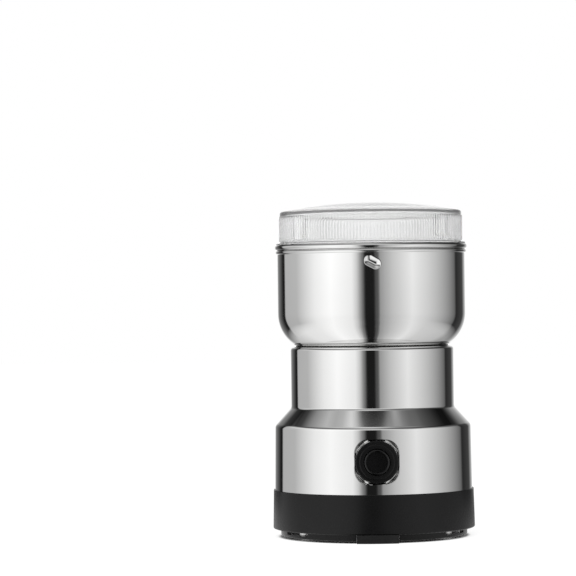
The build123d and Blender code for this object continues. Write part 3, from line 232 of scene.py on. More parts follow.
class StageSizes(bpy.types.PropertyGroup):
    distance: length("Camera distance", "From the camera to the motor's axis", 1.40)
    azimuth: angle("Camera azimuth", "Where the camera stands round the axis", -2.1)
    height: length("Camera height", "Height of the camera over the floor", 0.122)
    lens: FloatProperty(name="Lens", description="Focal length on a 36 mm sensor, in millimetres", default=168.9)
    pan: angle("Pan", "How far the camera aims to the left of the axis", 1.766)
    pitch: angle("Pitch", "How far the camera aims up", 0.265)
    roll: angle("Roll", "How far the camera leans to its right", 0.7)
    tent_radius: length("Tent radius", "Radius of the light tent", 0.36)
    tent_height: length("Tent height", "Height of the tent's upright walls", 0.30)
    middle: length("Middle", "Height that the tent's directions are measured from", 0.07)
    card_top: share("Card top", "Where the front card ends, as a share of the way up to the crown", 0.19)
    veil: share("Veil", "How pale the tent looks through glass", 0.66)
    veil_glow: FloatProperty(name="Veil glow", description="Glow that the tent turns to through glass", default=1.15)
    # Closer to the middle than shade_start the floor has no glow: painted shade under the grinder's base, where the
    # floor's diffuse part still takes its real shading
    shade_start: length("Shade start", "The floor glows only further from the middle than this", 48 * MM)
    shade_end: length("Shade end", "Where the floor glows fully", 50 * MM)
    floor_share: share("Floor share", "How much of the floor's look is its own glow", 0.76)
    floor_paint: share("Floor paint", "How pale the floor is apart from its glow", 0.8)
    floor_glow: FloatProperty(name="Floor glow", description="Glow of the floor and background", default=1.12)
    tent_strength: FloatProperty(name="Tent strength", description="Glow of the tent's brightest part", default=1.25)
    fill_power: FloatProperty(name="Fill power", description="Power of the soft lamp overhead", default=2.2)
    lamp_size: length("Lamp size", "Side of the soft lamp", 0.35)
    floor_colour: colour("Floor", "Pale floor and background", (1.0, 1.0, 1.0))


SETTINGS = {
    "grinder_steel": SteelSizes,
    "grinder_lid": LidSizes,
    "grinder_button": ButtonSizes,
    "grinder_colours": Colours,
    "grinder_stage": StageSizes,
}


# ------------------------------------------------------------------------------------ turned meshes
def rounded_path(corners, fineness=radians(7)):
    """Points along straight runs joined by arcs; each corner is (radius, height, rounding)."""
    points = [Vector(corners[0][:2])]
    for before, (r, z, rounding), after in zip(corners, corners[1:], corners[2:]):
        here = Vector((r, z))
        if rounding <= 0:
            points.append(here)
            continue
        back = (Vector(before[:2]) - here).normalized()
        on = (Vector(after[:2]) - here).normalized()
        half = back.angle(on) / 2
        centre = here + (back + on).normalized() * rounding / sin(half)
        start = here + back * rounding / tan(half) - centre
        turn = pi - 2 * half
        if back.x * on.y - back.y * on.x > 0:
            turn = -turn
        steps = max(2, ceil(abs(turn) / fineness))
        points += [centre + Matrix.Rotation(turn * step / steps, 2) @ start for step in range(steps + 1)]
    points.append(Vector(corners[-1][:2]))
    return points


def arc(centre, radius, start, end, steps):
    """Points on an arc; start and end are angles from the outward direction, positive upward."""
    turns = [start + (end - start) * step / steps for step in range(steps + 1)]
    return [Vector((centre[0] + radius * cos(turn), centre[1] + radius * sin(turn))) for turn in turns]


def sagging_arc(start, end, rise, steps):
    """Points on a flat arc between two points, which bulges to its right by rise."""
    chord = Vector(end) - Vector(start)
    radius = (chord.length**2 / 4 + rise**2) / (2 * rise)
    right = Vector((chord.y, -chord.x)).normalized()
    centre = (Vector(start) + Vector(end)) / 2 - right * (radius - rise)
    arm = Vector(start) - centre
    span = 2 * atan2(chord.length / 2, radius - rise)
    return [centre + Matrix.Rotation(span * step / steps, 2) @ arm for step in range(steps + 1)]


def moved_left(points, thickness):
    """The same path, moved to its left by the thickness of a sheet."""
    inside = []
    for index, point in enumerate(points):
        ahead = points[min(index + 1, len(points) - 1)] - points[max(index - 1, 0)]
        inside.append(point + Vector((-ahead.y, ahead.x)).normalized() * thickness)
    return inside


def divided(points, longest, low, high):
    """The same path, with the runs between two heights cut into short ones."""
    result = [points[0]]
    for start, end in zip(points, points[1:]):
        bottom, top = min(start.y, end.y), max(start.y, end.y)
        cuts = []
        if top > low and bottom < high and top - bottom > longest:
            first, last = max(bottom, low), min(top, high)
            count = max(1, ceil((last - first) / longest))
            cuts = [(first + (last - first) * step / count - start.y) / (end.y - start.y) for step in range(count + 1)]
            cuts = sorted(cut for cut in cuts if 1e-6 < cut < 1 - 1e-6)
        result += [start.lerp(end, cut) for cut in cuts]
        result.append(end)
    return result


def round_corner(before, corner, after, rounding):
    """Points of the arc that rounds the corner between two others."""
    path = [(before.x, before.y, 0), (corner.x, corner.y, rounding), (after.x, after.y, 0)]
    return rounded_path(path, radians(9))[1:-1]


def with_height(points, height, least_radius):
    """The same path with a point added where it passes a height on the outer wall."""
    for index, (start, end) in enumerate(zip(points, points[1:])):
        if start.x > least_radius and end.x > least_radius and start.y < height < end.y:
            return points[: index + 1] + [start.lerp(end, (height - start.y) / (end.y - start.y))] + points[index + 1 :]
    return points


def even_turns(count):
    """Angles of evenly spaced columns."""
    return np.linspace(0, 2 * pi, count, endpoint=False)


def graded_turns(count, centres, half, step):
    """Angles of columns that crowd together within half of each centre."""
    turns = list(even_turns(count))
    for centre in centres:
        turns = [turn for turn in turns if abs((turn - centre + pi) % (2 * pi) - pi) > half + step / 2]
        fine = ceil(2 * half / step)
        turns += [(centre - half + 2 * half * index / fine) % (2 * pi) for index in range(fine + 1)]
    return np.array(sorted(turns))


def add_object(name, data):
    """New object in the scene."""
    item = bpy.data.objects.new(name, data)
    bpy.context.scene.collection.objects.link(item)
    return item


def close_poles(mesh):
    """Join the points that lie on the axis and drop the faces that had no area."""
    shape = bmesh.new()
    shape.from_mesh(mesh)
    poles = [vertex for vertex in shape.verts if hypot(vertex.co.x, vertex.co.y) == 0]
    bmesh.ops.remove_doubles(shape, verts=poles, dist=0.001 * MM)
    shape.to_mesh(mesh)
    shape.free()


def lathe(name, loop, turns, shape=None, sharp=radians(40)):
    """Closed solid turned about Z from a loop of (radius, height), whose outer side runs upward.

    shape takes and returns the points as an array with a row for each column and (x, y, z) last.
    """
    profile = np.array([(point[0], point[1]) for point in loop])
    points = np.empty((len(turns), len(profile), 3))
    points[:, :, 0] = np.outer(np.sin(turns), profile[:, 0])
    points[:, :, 1] = np.outer(-np.cos(turns), profile[:, 0])
    points[:, :, 2] = profile[:, 1]
    if shape:
        points = shape(points)
    columns, rows = len(turns), len(profile)
    column, row = np.meshgrid(np.arange(columns), np.arange(rows), indexing="ij")
    next_column, next_row = (column + 1) % columns, (row + 1) % rows
    corners = [(column, row), (next_column, row), (next_column, next_row), (column, next_row)]
    faces = np.stack([(c * rows + r).ravel() for c, r in corners], axis=1)
    mesh = bpy.data.meshes.new(name)
    mesh.from_pydata(points.reshape(-1, 3).tolist(), [], faces.tolist())
    if profile[:, 0].min() == 0:
        close_poles(mesh)
    mesh.shade_smooth()
    mesh.set_sharp_from_angle(angle=sharp)
    return add_object(name, mesh)


def lay_forward(piece, height):
    """Turn a lathed piece so that its axis points to the front, at a height; its Z becomes the reach from the axis."""
    piece.data.transform(Matrix.Translation((0, 0, height)) @ Matrix.Rotation(radians(90), 4, "X"))


def cut_away(piece, cutter, sharp=radians(40)):
    """Cut one solid out of another, and drop the cutter."""
    cut = piece.modifiers.new("cut", "BOOLEAN")
    cut.solver = "EXACT"
    cut.object = cutter
    evaluated = piece.evaluated_get(bpy.context.evaluated_depsgraph_get())
    whole, piece.data = piece.data, bpy.data.meshes.new_from_object(evaluated)
    piece.modifiers.clear()
    bpy.data.meshes.remove(whole)
    bpy.data.objects.remove(cutter)
    piece.data.set_sharp_from_angle(angle=sharp)


def settle(context, piece, node, slot):
    """Dress a finished piece: it stands for a node, rides on the node's body and keeps its finish's slot."""
    piece.data.materials.append(finish_for(context, slot))
    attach(piece, NODES[node]["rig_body"])
    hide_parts(node)


# ------------------------------------------------------------------------------------ shared effects
def start_group(name, inputs, outputs):
    """New shader node group with named number inputs and outputs; gives its tree, input and output nodes."""
    tree = bpy.data.node_groups.new(name, "ShaderNodeTree")
    for socket, default in inputs.items():
        tree.interface.new_socket(socket, in_out="INPUT", socket_type="NodeSocketFloat").default_value = default
    for socket in outputs:
        tree.interface.new_socket(socket, in_out="OUTPUT", socket_type="NodeSocketFloat")
    return tree, tree.nodes.new("NodeGroupInput"), tree.nodes.new("NodeGroupOutput")


def add_node(tree, kind, inputs=None, **settings):
    """New node with its properties set; each input is a number, a colour, a vector or another node's output."""
    node = tree.nodes.new(kind)
    for key, value in settings.items():
        setattr(node, key, value)
    for socket, value in (inputs or {}).items():
        if isinstance(value, (int, float, tuple)):
            node.inputs[socket].default_value = value
        else:
            tree.links.new(value, node.inputs[socket])
    return node


def own_place(tree):
    """The object's own coordinates, in metres."""
    return tree.nodes.new("ShaderNodeTexCoord").outputs["Object"]


def noise(tree, vector, scale, detail=2.0, roughness=0.5):
    """Noise texture at a fixed or linked scale."""
    inputs = {"Vector": vector, "Scale": scale, "Detail": detail, "Roughness": roughness}
    return add_node(tree, "ShaderNodeTexNoise", inputs).outputs["Fac"]


def spread(tree, value, low, high, to_low=0.0, to_high=1.0):
    """Stretch a value from one range to another, clamped."""
    inputs = {"Value": value, "From Min": low, "From Max": high, "To Min": to_low, "To Max": to_high}
    return add_node(tree, "ShaderNodeMapRange", inputs).outputs["Result"]


def combine(tree, operation, first, second):
    """Math node on two values."""
    return add_node(tree, "ShaderNodeMath", {0: first, 1: second}, operation=operation).outputs[0]


def crossfade(tree, first, second, amount):
    """From the first value to the second as the amount goes from 0 to 1."""
    kept = combine(tree, "MULTIPLY", first, combine(tree, "SUBTRACT", 1.0, amount))
    return combine(tree, "ADD", kept, combine(tree, "MULTIPLY", second, amount))


def stretched(tree, vector, scale):
    """Coordinates stretched by a fixed factor along each axis."""
    return add_node(tree, "ShaderNodeVectorMath", {0: vector, 1: scale}, operation="MULTIPLY").outputs[0]


def build_polish_group():
    """Fine level lines left by polishing on a lathe, and soft patches where hands have been."""
    tree, _, out = start_group("polish", {}, ["Lines", "Patches"])
    place = own_place(tree)
    fine = noise(tree, stretched(tree, place, (25, 25, 9000)), 1.0, detail=3.0, roughness=0.6)
    broad = noise(tree, stretched(tree, place, (10, 10, 700)), 1.0)
    tree.links.new(combine(tree, "ADD", fine, combine(tree, "MULTIPLY", broad, 0.6)), out.inputs["Lines"])
    patches = spread(tree, noise(tree, place, 28.0, detail=4.0, roughness=0.55), 0.42, 0.72)
    tree.links.new(patches, out.inputs["Patches"])


def build_grain_group():
    """Fine spark-eroded grain of a moulding, with a slow change of sheen."""
    tree, into, out = start_group("grain", {"Grain scale": 2600.0}, ["Height", "Sheen"])
    place = own_place(tree)
    height = noise(tree, place, into.outputs["Grain scale"], detail=3.0, roughness=0.65)
    tree.links.new(height, out.inputs["Height"])
    tree.links.new(spread(tree, noise(tree, place, 45.0, detail=3.0), 0.3, 0.7), out.inputs["Sheen"])


def build_dust_group():
    """Sparse fine specks, and a film in the lower parts."""
    tree, into, out = start_group("dust", {"Film height": 0.02}, ["Specks", "Film"])
    place = own_place(tree)
    cells = add_node(tree, "ShaderNodeTexVoronoi", {"Vector": place, "Scale": 420.0}, feature="F1")
    near = spread(tree, cells.outputs["Distance"], 0.03, 0.09, 1.0, 0.0)
    sparse = spread(tree, noise(tree, place, 130.0), 0.60, 0.66)
    tree.links.new(combine(tree, "MULTIPLY", near, sparse), out.inputs["Specks"])
    parts = add_node(tree, "ShaderNodeSeparateXYZ", {0: place})
    low = spread(tree, parts.outputs["Z"], 0.0, into.outputs["Film height"], 1.0, 0.0)
    cloud = spread(tree, noise(tree, place, 90.0, detail=4.0, roughness=0.6), 0.35, 0.75)
    tree.links.new(combine(tree, "MULTIPLY", low, cloud), out.inputs["Film"])


EFFECTS = {"polish": build_polish_group, "grain": build_grain_group, "dust": build_dust_group}


# ------------------------------------------------------------------------------------ finishes
class Finish:
    """A material being made: its tree, its Principled shader and the links into it."""

    def __init__(self, name, base, roughness, metallic=0.0):
        self.material = bpy.data.materials.new(name)
        self.material.use_nodes = True
        self.tree = self.material.node_tree
        self.shader = self.tree.nodes["Principled BSDF"]
        self.base = tuple(base)
        self.shader.inputs["Base Color"].default_value = (*base, 1)
        self.shader.inputs["Roughness"].default_value = roughness
        self.shader.inputs["Metallic"].default_value = metallic

    def effect(self, name, **values):
        """Place a shared effect and give its outputs."""
        if name not in bpy.data.node_groups:
            EFFECTS[name]()
        node = add_node(self.tree, "ShaderNodeGroup", node_tree=bpy.data.node_groups[name])
        for socket, value in values.items():
            node.inputs[socket].default_value = value
        return node.outputs

    def tint(self, mask, other):
        """Change the base colour to another by a mask; earlier tints stay underneath."""
        socket = self.shader.inputs["Base Color"]
        under = socket.links[0].from_socket if socket.is_linked else (*self.base, 1)
        mix = add_node(self.tree, "ShaderNodeMix", data_type="RGBA", inputs={0: mask, 6: under, 7: (*other, 1)})
        self.tree.links.new(mix.outputs[2], socket)

    def sheen_by(self, mask, low, high):
        """Roughness from a mask."""
        self.tree.links.new(spread(self.tree, mask, 0.0, 1.0, low, high), self.shader.inputs["Roughness"])

    def relief(self, height, depth):
        """Bump from a height."""
        bump = add_node(self.tree, "ShaderNodeBump", {"Height": height, "Distance": depth, "Strength": 1.0})
        self.tree.links.new(bump.outputs["Normal"], self.shader.inputs["Normal"])


def darker(base, factor):
    """The same colour, darker or lighter."""
    return tuple(min(1.0, channel * factor) for channel in base)


def polished_steel(name, colours):
    finish = Finish(name, colours.steel, 0.05, 1.0)
    polish = finish.effect("polish")
    finish.tint(polish["Patches"], darker(colours.steel, 0.975))
    finish.sheen_by(polish["Patches"], 0.045, 0.075)
    finish.relief(polish["Lines"], 0.0008 * MM)
    return finish.material


def satin_steel(name, colours):
    finish = Finish(name, colours.fittings, 0.3, 1.0)
    polish = finish.effect("polish")
    finish.sheen_by(polish["Patches"], 0.25, 0.42)
    finish.relief(polish["Lines"], 0.004 * MM)
    return finish.material


def core_steel(name, colours):
    finish = Finish(name, colours.laminations, 0.45, 0.6)
    inputs = {"Vector": own_place(finish.tree), "Scale": 640.0, "Distortion": 0.3}
    sheets = add_node(finish.tree, "ShaderNodeTexWave", inputs, wave_type="BANDS", bands_direction="Z")
    finish.tint(sheets.outputs["Fac"], darker(colours.laminations, 0.55))
    finish.relief(sheets.outputs["Fac"], 0.05 * MM)
    finish.sheen_by(finish.effect("grain")["Sheen"], 0.35, 0.55)
    return finish.material


DUST_COLOUR = (0.022, 0.022, 0.021)


def moulded(name, base, low, high, depth, scale=2600.0, dusty=True, shine=0.5):
    """Moulded plastic or rubber with its grain, sheen and a trace of dust; low and high are its roughness."""
    finish = Finish(name, base, low)
    finish.shader.inputs["Specular IOR Level"].default_value = shine
    grain = finish.effect("grain", **{"Grain scale": scale})
    finish.sheen_by(grain["Sheen"], low, high)
    finish.relief(grain["Height"], depth)
    if dusty:
        dust = finish.effect("dust")
        finish.tint(dust["Film"], darker(base, 1.5))
        finish.tint(dust["Specks"], DUST_COLOUR)
    return finish


def black_plastic(name, colours):
    return moulded(name, colours.black, 0.22, 0.30, 0.006 * MM, shine=0.2).material


def button_plastic(name, colours):
    return moulded(name, colours.button, 0.10, 0.16, 0.002 * MM, dusty=False, shine=0.35).material


def black_rubber(name, colours):
    return moulded(name, colours.rubber, 0.55, 0.72, 0.02 * MM, scale=1800.0, shine=0.25).material


def frame_plastic(name, colours):
    return moulded(name, colours.frame_grey, 0.45, 0.6, 0.02 * MM, scale=1500.0).material


def phenolic(name, colours):
    finish = moulded(name, colours.phenolic, 0.35, 0.5, 0.01 * MM, dusty=False)
    mottle = noise(finish.tree, own_place(finish.tree), 320.0, detail=4.0, roughness=0.7)
    finish.tint(spread(finish.tree, mottle, 0.4, 0.65), darker(colours.phenolic, 0.6))
    return finish.material


def bronze(name, colours):
    finish = Finish(name, colours.bronze, 0.4, 1.0)
    pores = noise(finish.tree, own_place(finish.tree), 3000.0)
    finish.tint(spread(finish.tree, pores, 0.5, 0.62), darker(colours.bronze, 0.55))
    finish.sheen_by(pores, 0.3, 0.5)
    finish.relief(pores, 0.01 * MM)
    return finish.material


def copper(name, colours):
    finish = Finish(name, colours.copper, 0.28, 1.0)
    strands = noise(finish.tree, stretched(finish.tree, own_place(finish.tree), (1800, 1800, 260)), 1.0)
    finish.tint(spread(finish.tree, strands, 0.35, 0.6), darker(colours.copper, 0.5))
    finish.sheen_by(strands, 0.2, 0.38)
    finish.relief(strands, 0.06 * MM)
    return finish.material


def carbon(name, colours):
    finish = Finish(name, colours.carbon, 0.5)
    flakes = noise(finish.tree, own_place(finish.tree), 2400.0, detail=3.0, roughness=0.7)
    finish.tint(spread(finish.tree, flakes, 0.55, 0.7), darker(colours.carbon, 3.0))
    finish.sheen_by(flakes, 0.35, 0.6)
    return finish.material


def clear_plastic(name, colours):
    finish = Finish(name, colours.clear, 0.03)
    finish.shader.inputs["Transmission Weight"].default_value = 0.9
    finish.shader.inputs["IOR"].default_value = 1.49
    # Painted shade: the base colour turns darker where the lid is seen at grazing angles, along its contours and the
    # flanks of its ribs
    contour_shade_facing = finish.tree.nodes.new("ShaderNodeLayerWeight").outputs["Facing"]
    finish.tint(spread(finish.tree, contour_shade_facing, 0.75, 0.98), darker(colours.clear, 0.75))
    polish = finish.effect("polish")
    finish.sheen_by(polish["Patches"], 0.02, 0.06)
    waves = noise(finish.tree, own_place(finish.tree), 110.0, detail=1.0)
    finish.relief(waves, 0.02 * MM)
    return finish.material


def clear_silicone(name, colours):
    finish = Finish(name, colours.silicone, 0.35)
    finish.shader.inputs["Transmission Weight"].default_value = 0.6
    finish.shader.inputs["IOR"].default_value = 1.41
    grain = finish.effect("grain", **{"Grain scale": 900.0})
    finish.sheen_by(grain["Sheen"], 0.28, 0.45)
    finish.relief(grain["Height"], 0.01 * MM)
    return finish.material


FINISHES = {
    "polished_steel": polished_steel,
    "satin_steel": satin_steel,
    "core_steel": core_steel,
    "black_plastic": black_plastic,
    "button_plastic": button_plastic,
    "clear_plastic": clear_plastic,
    "clear_silicone": clear_silicone,
    "black_rubber": black_rubber,
    "frame_plastic": frame_plastic,
    "phenolic": phenolic,
    "bronze": bronze,
    "copper": copper,
    "carbon": carbon,
}


def finish_for(context, slot):
    """The material of a slot, made once."""
    name = f"grinder_{slot}"
    return bpy.data.materials.get(name) or FINISHES[slot](name, context.scene.grinder_colours)


def dress(context, slot, nodes):
    """Give solids that keep their own shape a finish."""
    for node in nodes:
        mesh = NODES[node].data
        mesh.materials.clear()
        mesh.materials.append(finish_for(context, slot))


# ------------------------------------------------------------------------------------ pieces
def smooth_step(value):
    """Soft ramp from 0 to 1, level at both ends."""
    value = np.clip(value, 0, 1)
    return value * value * (3 - 2 * value)


def polar(points):
    """Angles round the axis and distances from it."""
    return np.arctan2(points[:, :, 0], -points[:, :, 1]), np.hypot(points[:, :, 0], points[:, :, 1])


def moved_out(points, radius, distance):
    """The same points, moved away from the axis; a point on the axis stays."""
    grow = 1 + distance / np.maximum(radius, 1 * MM)
    points[:, :, 0] *= grow
    points[:, :, 1] *= grow
    return points


def slanted(steel, turn, height, radius, middle):
    """Distances from the nearest dimple's middle, along its slant and across it."""
    aside = (turn - steel.dimple_turn + DIMPLE_PITCH / 2) % DIMPLE_PITCH - DIMPLE_PITCH / 2
    level, up = aside * radius, height - middle
    slant = steel.dimple_slant
    return level * cos(slant) - up * sin(slant), level * sin(slant) + up * cos(slant)


class GRINDER_OT_bowl(bpy.types.Operator):
    """Build the drawn steel bowl with its rolled double rim and pressed dimples"""

    bl_idname = "grinder.bowl"
    bl_label = "Bowl"

    def execute(self, context):
        steel = context.scene.grinder_steel
        base = bottom_of("bowl")
        bead = base + steel.bowl_height
        curl = bead + steel.bead_height + steel.curl_height / 2
        inner = steel.bowl_radius - steel.sheet
        curl_middle = inner + steel.curl_radius
        dimple_height = top_of("bowl") - steel.dimple_drop
        margin = 1 * MM
        reach = steel.dimple_length / 2 + margin
        foot_bend = 2.5 * MM
        wall = rounded_path(
            [
                (steel.shaft_hole, base, 0),
                (steel.bowl_floor, base, 0),
                (steel.bowl_foot, base + steel.foot_rise, foot_bend),
                (steel.bowl_radius, base + steel.corner_height, steel.bowl_corner),
                (steel.bowl_radius, bead, 0),
            ],
            fineness=radians(3.5),
        )
        inside = moved_left(wall, steel.sheet)
        inside[-1] = Vector((inner, curl))
        bead_foot, bead_head = (steel.bowl_radius, bead), (steel.bowl_radius, bead + steel.bead_height)
        rim = sagging_arc(bead_foot, bead_head, steel.bead_swell, steps=10)
        roll = arc((curl_middle, 0), steel.curl_radius, start=radians(-101), end=radians(180), steps=30)
        roll = [Vector((r, curl + z * steel.curl_height / (2 * steel.curl_radius))) for r, z in roll]
        # A slanted dimple takes up less height than its length
        half_band, row = 0.75 * reach, 0.22 * MM
        low, high = dimple_height - half_band, dimple_height + half_band
        wall = divided(wall, row, low, high)
        inside = divided(inside[::-1], row, low, high)
        loop = wall + rim[1:] + roll[1:-1] + inside
        middles = [steel.dimple_turn + DIMPLE_PITCH * index for index in range(DIMPLES)]
        turns = graded_turns(COLUMNS, middles, reach / steel.bowl_radius, FINE_COLUMN)
        wall_start = inner - 0.1 * MM

        def press_dimples(points):
            turn, radius = polar(points)
            along, beside = slanted(steel, turn, points[:, :, 2], steel.bowl_radius, dimple_height)
            half = steel.dimple_width / 2
            past_end = np.maximum(np.abs(along) - steel.dimple_length / 2 + half, 0)
            out = np.minimum(np.hypot(past_end, beside) / half, 1)
            lip = steel.dimple_lip
            depth = np.where(out < lip, 1 - out**2 / lip, (1 - out) ** 2 / (1 - lip))
            return moved_out(points, radius, -np.where(radius > wall_start, depth, 0) * steel.dimple_depth)

        bowl = lathe("steel_bowl", loop, turns, press_dimples)
        settle(context, bowl, "bowl", "polished_steel")
        self.fit_gasket(context, steel, base)
        return {"FINISHED"}

    def fit_gasket(self, context, steel, base):
        """The ring that fills the gap between the housing's flange and the bowl's foot."""
        seat = bottom_of("bowl_gasket")
        inner, outer = steel.flange_radius + steel.gasket_inset, steel.bowl_foot - steel.gasket_inset
        slope = steel.foot_rise / (steel.bowl_foot - steel.bowl_floor)
        inner_top, outer_top = (base + slope * (radius - steel.bowl_floor) for radius in (inner, outer))
        bend = 0.1 * MM
        section = [(inner, seat, 0), (outer, seat, bend), (outer, outer_top, bend), (inner, inner_top, 0)]
        gasket = lathe("ring_gasket", rounded_path(section, fineness=radians(30)), even_turns(COLUMNS))
        settle(context, gasket, "bowl_gasket", "black_rubber")


class GRINDER_OT_housing(bpy.types.Operator):
    """Build the drawn steel housing with the pressed pocket of the push button"""

    bl_idname = "grinder.housing"
    bl_label = "Housing"

    def execute(self, context):
        steel, button = context.scene.grinder_steel, context.scene.grinder_button
        bottom, top = bottom_of("housing_shell"), top_of("housing_shell")
        radius = half_width("housing_shell")
        shoulder = bottom + steel.body_height
        outside = rounded_path(
            [
                (radius, bottom, 0),
                (radius - steel.body_taper, shoulder, steel.shoulder_bend),
                (steel.neck_radius, shoulder + steel.shoulder_height, steel.neck_bend),
                (steel.neck_radius, top, steel.flange_bend),
                (steel.flange_radius, top, 0),
            ],
            fineness=radians(4),
        )
        inside = moved_left(outside, steel.sheet)[::-1]
        floor_half = half_width("button_bezel") + steel.pocket_margin
        outline_half = floor_half + steel.pocket_wall
        margin = 0.5 * MM
        reach = outline_half + margin
        low, high = button.height - reach, button.height + reach
        outer_row, inner_row = 0.2 * MM, 0.4 * MM
        outer_loop = divided(outside, outer_row, low, high)
        loop = outer_loop + divided(inside, inner_row, low, high)
        # The pocket is straight across, so it spans a little more of the round wall than its width
        round_share = 1.04
        turns = graded_turns(COLUMNS, [0], round_share * reach / radius, FINE_COLUMN)
        floor = front_of("button_bezel") - button.flange - button.collar_rise
        # The pocket's corners sink where its wall is broad, starting a little inside the floor's edge
        broad, broad_ramp = 0.8 * MM, 1.1 * MM
        floor_margin, floor_ramp = 0.7 * MM, 0.6 * MM
        least_breadth = 0.01 * MM

        def press_pocket(points):
            x, y, z = points[:, :, 0], points[:, :, 1], points[:, :, 2]
            beyond_floor = np.hypot(x, z - button.height) - floor_half
            side = outline_half - steel.pocket_corner
            over_x = np.maximum(np.abs(x) - side, 0)
            over_z = np.maximum(np.abs(z - button.height) - side, 0)
            before_outline = steel.pocket_corner - np.hypot(over_x, over_z)
            breadth = np.maximum(beyond_floor + before_outline, least_breadth)
            pressed = smooth_step(before_outline / breadth) * (before_outline > 0) * (y < 0)
            roomy = smooth_step((breadth - broad) / broad_ramp)
            hollow = steel.corner_hollow * roomy * smooth_step((beyond_floor + floor_margin) / floor_ramp)
            sheet_depth = np.where(np.arange(len(loop)) < len(outer_loop), 0, steel.sheet)
            points[:, :, 1] = y + (sheet_depth + hollow - floor - y) * pressed
            return points

        shell = lathe("steel_housing", loop, turns, press_pocket)
        half_length = 3 * MM
        start, end = floor - half_length, floor + half_length
        corners = [(0, start), (steel.barrel_hole, start), (steel.barrel_hole, end), (0, end)]
        drill = lathe("drill", corners, even_turns(DRILL_COLUMNS))
        lay_forward(drill, button.height)
        cut_away(shell, drill)
        settle(context, shell, "housing_shell", "polished_steel")
        return {"FINISHED"}


class GRINDER_OT_lid(bpy.types.Operator):
    """Build the clear ribbed lid with its skirt and closing ridges"""

    bl_idname = "grinder.lid"
    bl_label = "Lid"

    def execute(self, context):
        lid, steel = context.scene.grinder_lid, context.scene.grinder_steel
        rim, crown, skirt_bottom = top_of("bowl"), top_of("lid"), bottom_of("lid")
        seal_gap = 0.1 * MM
        seal_low, seal_high = bottom_of("lid_seal") - seal_gap, top_of("lid_seal") + seal_gap
        wall_radius = lid.rib_radius - lid.rib_depth
        wall_bottom = rim + lid.lip_height
        edge = crown - lid.edge_drop
        plain_foot, plain_head = 0.8 * MM, 2.4 * MM
        rib_low, rib_high = wall_bottom + plain_foot, edge - plain_head
        skirt_inner = lid.skirt_radius - lid.skirt_wall
        groove_depth = 0.8 * MM
        groove = lid.skirt_radius - groove_depth
        crisp, lip_bend = 0.1 * MM, 0.25 * MM
        outer = rounded_path(
            [
                (skirt_inner, skirt_bottom, 0),
                (lid.skirt_radius, skirt_bottom, 0.5 * MM),
                (lid.skirt_radius, seal_low, crisp),
                (groove, seal_low, crisp),
                (groove, seal_high, crisp),
                (lid.skirt_radius, seal_high, crisp),
                (lid.skirt_radius, rim, crisp),
                (lid.lip_radius, rim, lip_bend),
                (lid.lip_radius, wall_bottom, lip_bend),
                (wall_radius, wall_bottom, 0.4 * MM),
                (wall_radius, edge, 0),
            ],
            fineness=radians(15),
        )
        dome_bulge = 0.26 * lid.edge_drop
        dome = sagging_arc((wall_radius, edge), (0, crown), dome_bulge, steps=18)
        outer = outer[:-1] + round_corner(outer[-2], Vector((wall_radius, edge)), dome[1], lid.edge_round) + dome[2:]
        inner_drop, inner_bend, skirt_bevel = 1.6 * MM, 3 * MM, 1 * MM
        inner_edge = edge - inner_drop
        inner_dome = sagging_arc((skirt_inner, inner_edge), (0, crown - lid.top), dome_bulge, steps=14)
        corner = round_corner(Vector((skirt_inner, rim)), Vector((skirt_inner, inner_edge)), inner_dome[1], inner_bend)
        inner = ([Vector((skirt_inner, skirt_bottom + skirt_bevel))] + corner + inner_dome[2:])[::-1]
        ridge_row, ridge_zone = 0.45 * MM, 9.5 * MM
        outer = divided(outer, ridge_row, skirt_bottom + skirt_bevel, skirt_bottom + ridge_zone)
        rib_row, rib_margin, rib_end = 2.5 * MM, 0.3 * MM, 0.35 * MM
        outer = divided(outer, rib_row, rib_low - rib_margin, rib_high + rib_margin)
        outside_only = wall_radius - 1 * MM
        for mark in (rib_low, rib_low + rib_end, rib_high - rib_end, rib_high):
            outer = with_height(outer, mark, outside_only)
        dimple_height = rim - steel.dimple_drop
        skin, ridge_flank = 0.02 * MM, 0.4 * MM

        def cut_ribs(points):
            turn, radius = polar(points)
            height = points[:, :, 2]
            on_wall = np.abs(radius - wall_radius) < skin
            ends = smooth_step((height - rib_low) / rib_end) * smooth_step((rib_high - height) / rib_end)
            crest = 1 - (2 * ((turn * lid.rib_count / (2 * pi)) % 1) - 1) ** 2
            ribs = np.where(on_wall, ends * crest * lid.rib_depth, 0)
            along, beside = slanted(steel, turn, height, lid.skirt_radius, dimple_height)
            half = lid.ridge_width / 2
            past_end = np.maximum(np.abs(along) - lid.ridge_length / 2 + half, 0)
            off = np.hypot(past_end, beside + lid.ridge_drop)
            on_skirt = (np.abs(radius - lid.skirt_radius) < skin) & (height < seal_low)
            ridges = np.where(on_skirt, smooth_step((half - off) / ridge_flank) * lid.ridge_height, 0)
            return moved_out(points, radius, ribs + ridges)

        columns_per_rib = 6
        piece = lathe("ribbed_lid", outer + inner, even_turns(columns_per_rib * lid.rib_count), cut_ribs)
        settle(context, piece, "lid", "clear_plastic")
        dress(context, "clear_silicone", ["lid_seal"])
        return {"FINISHED"}


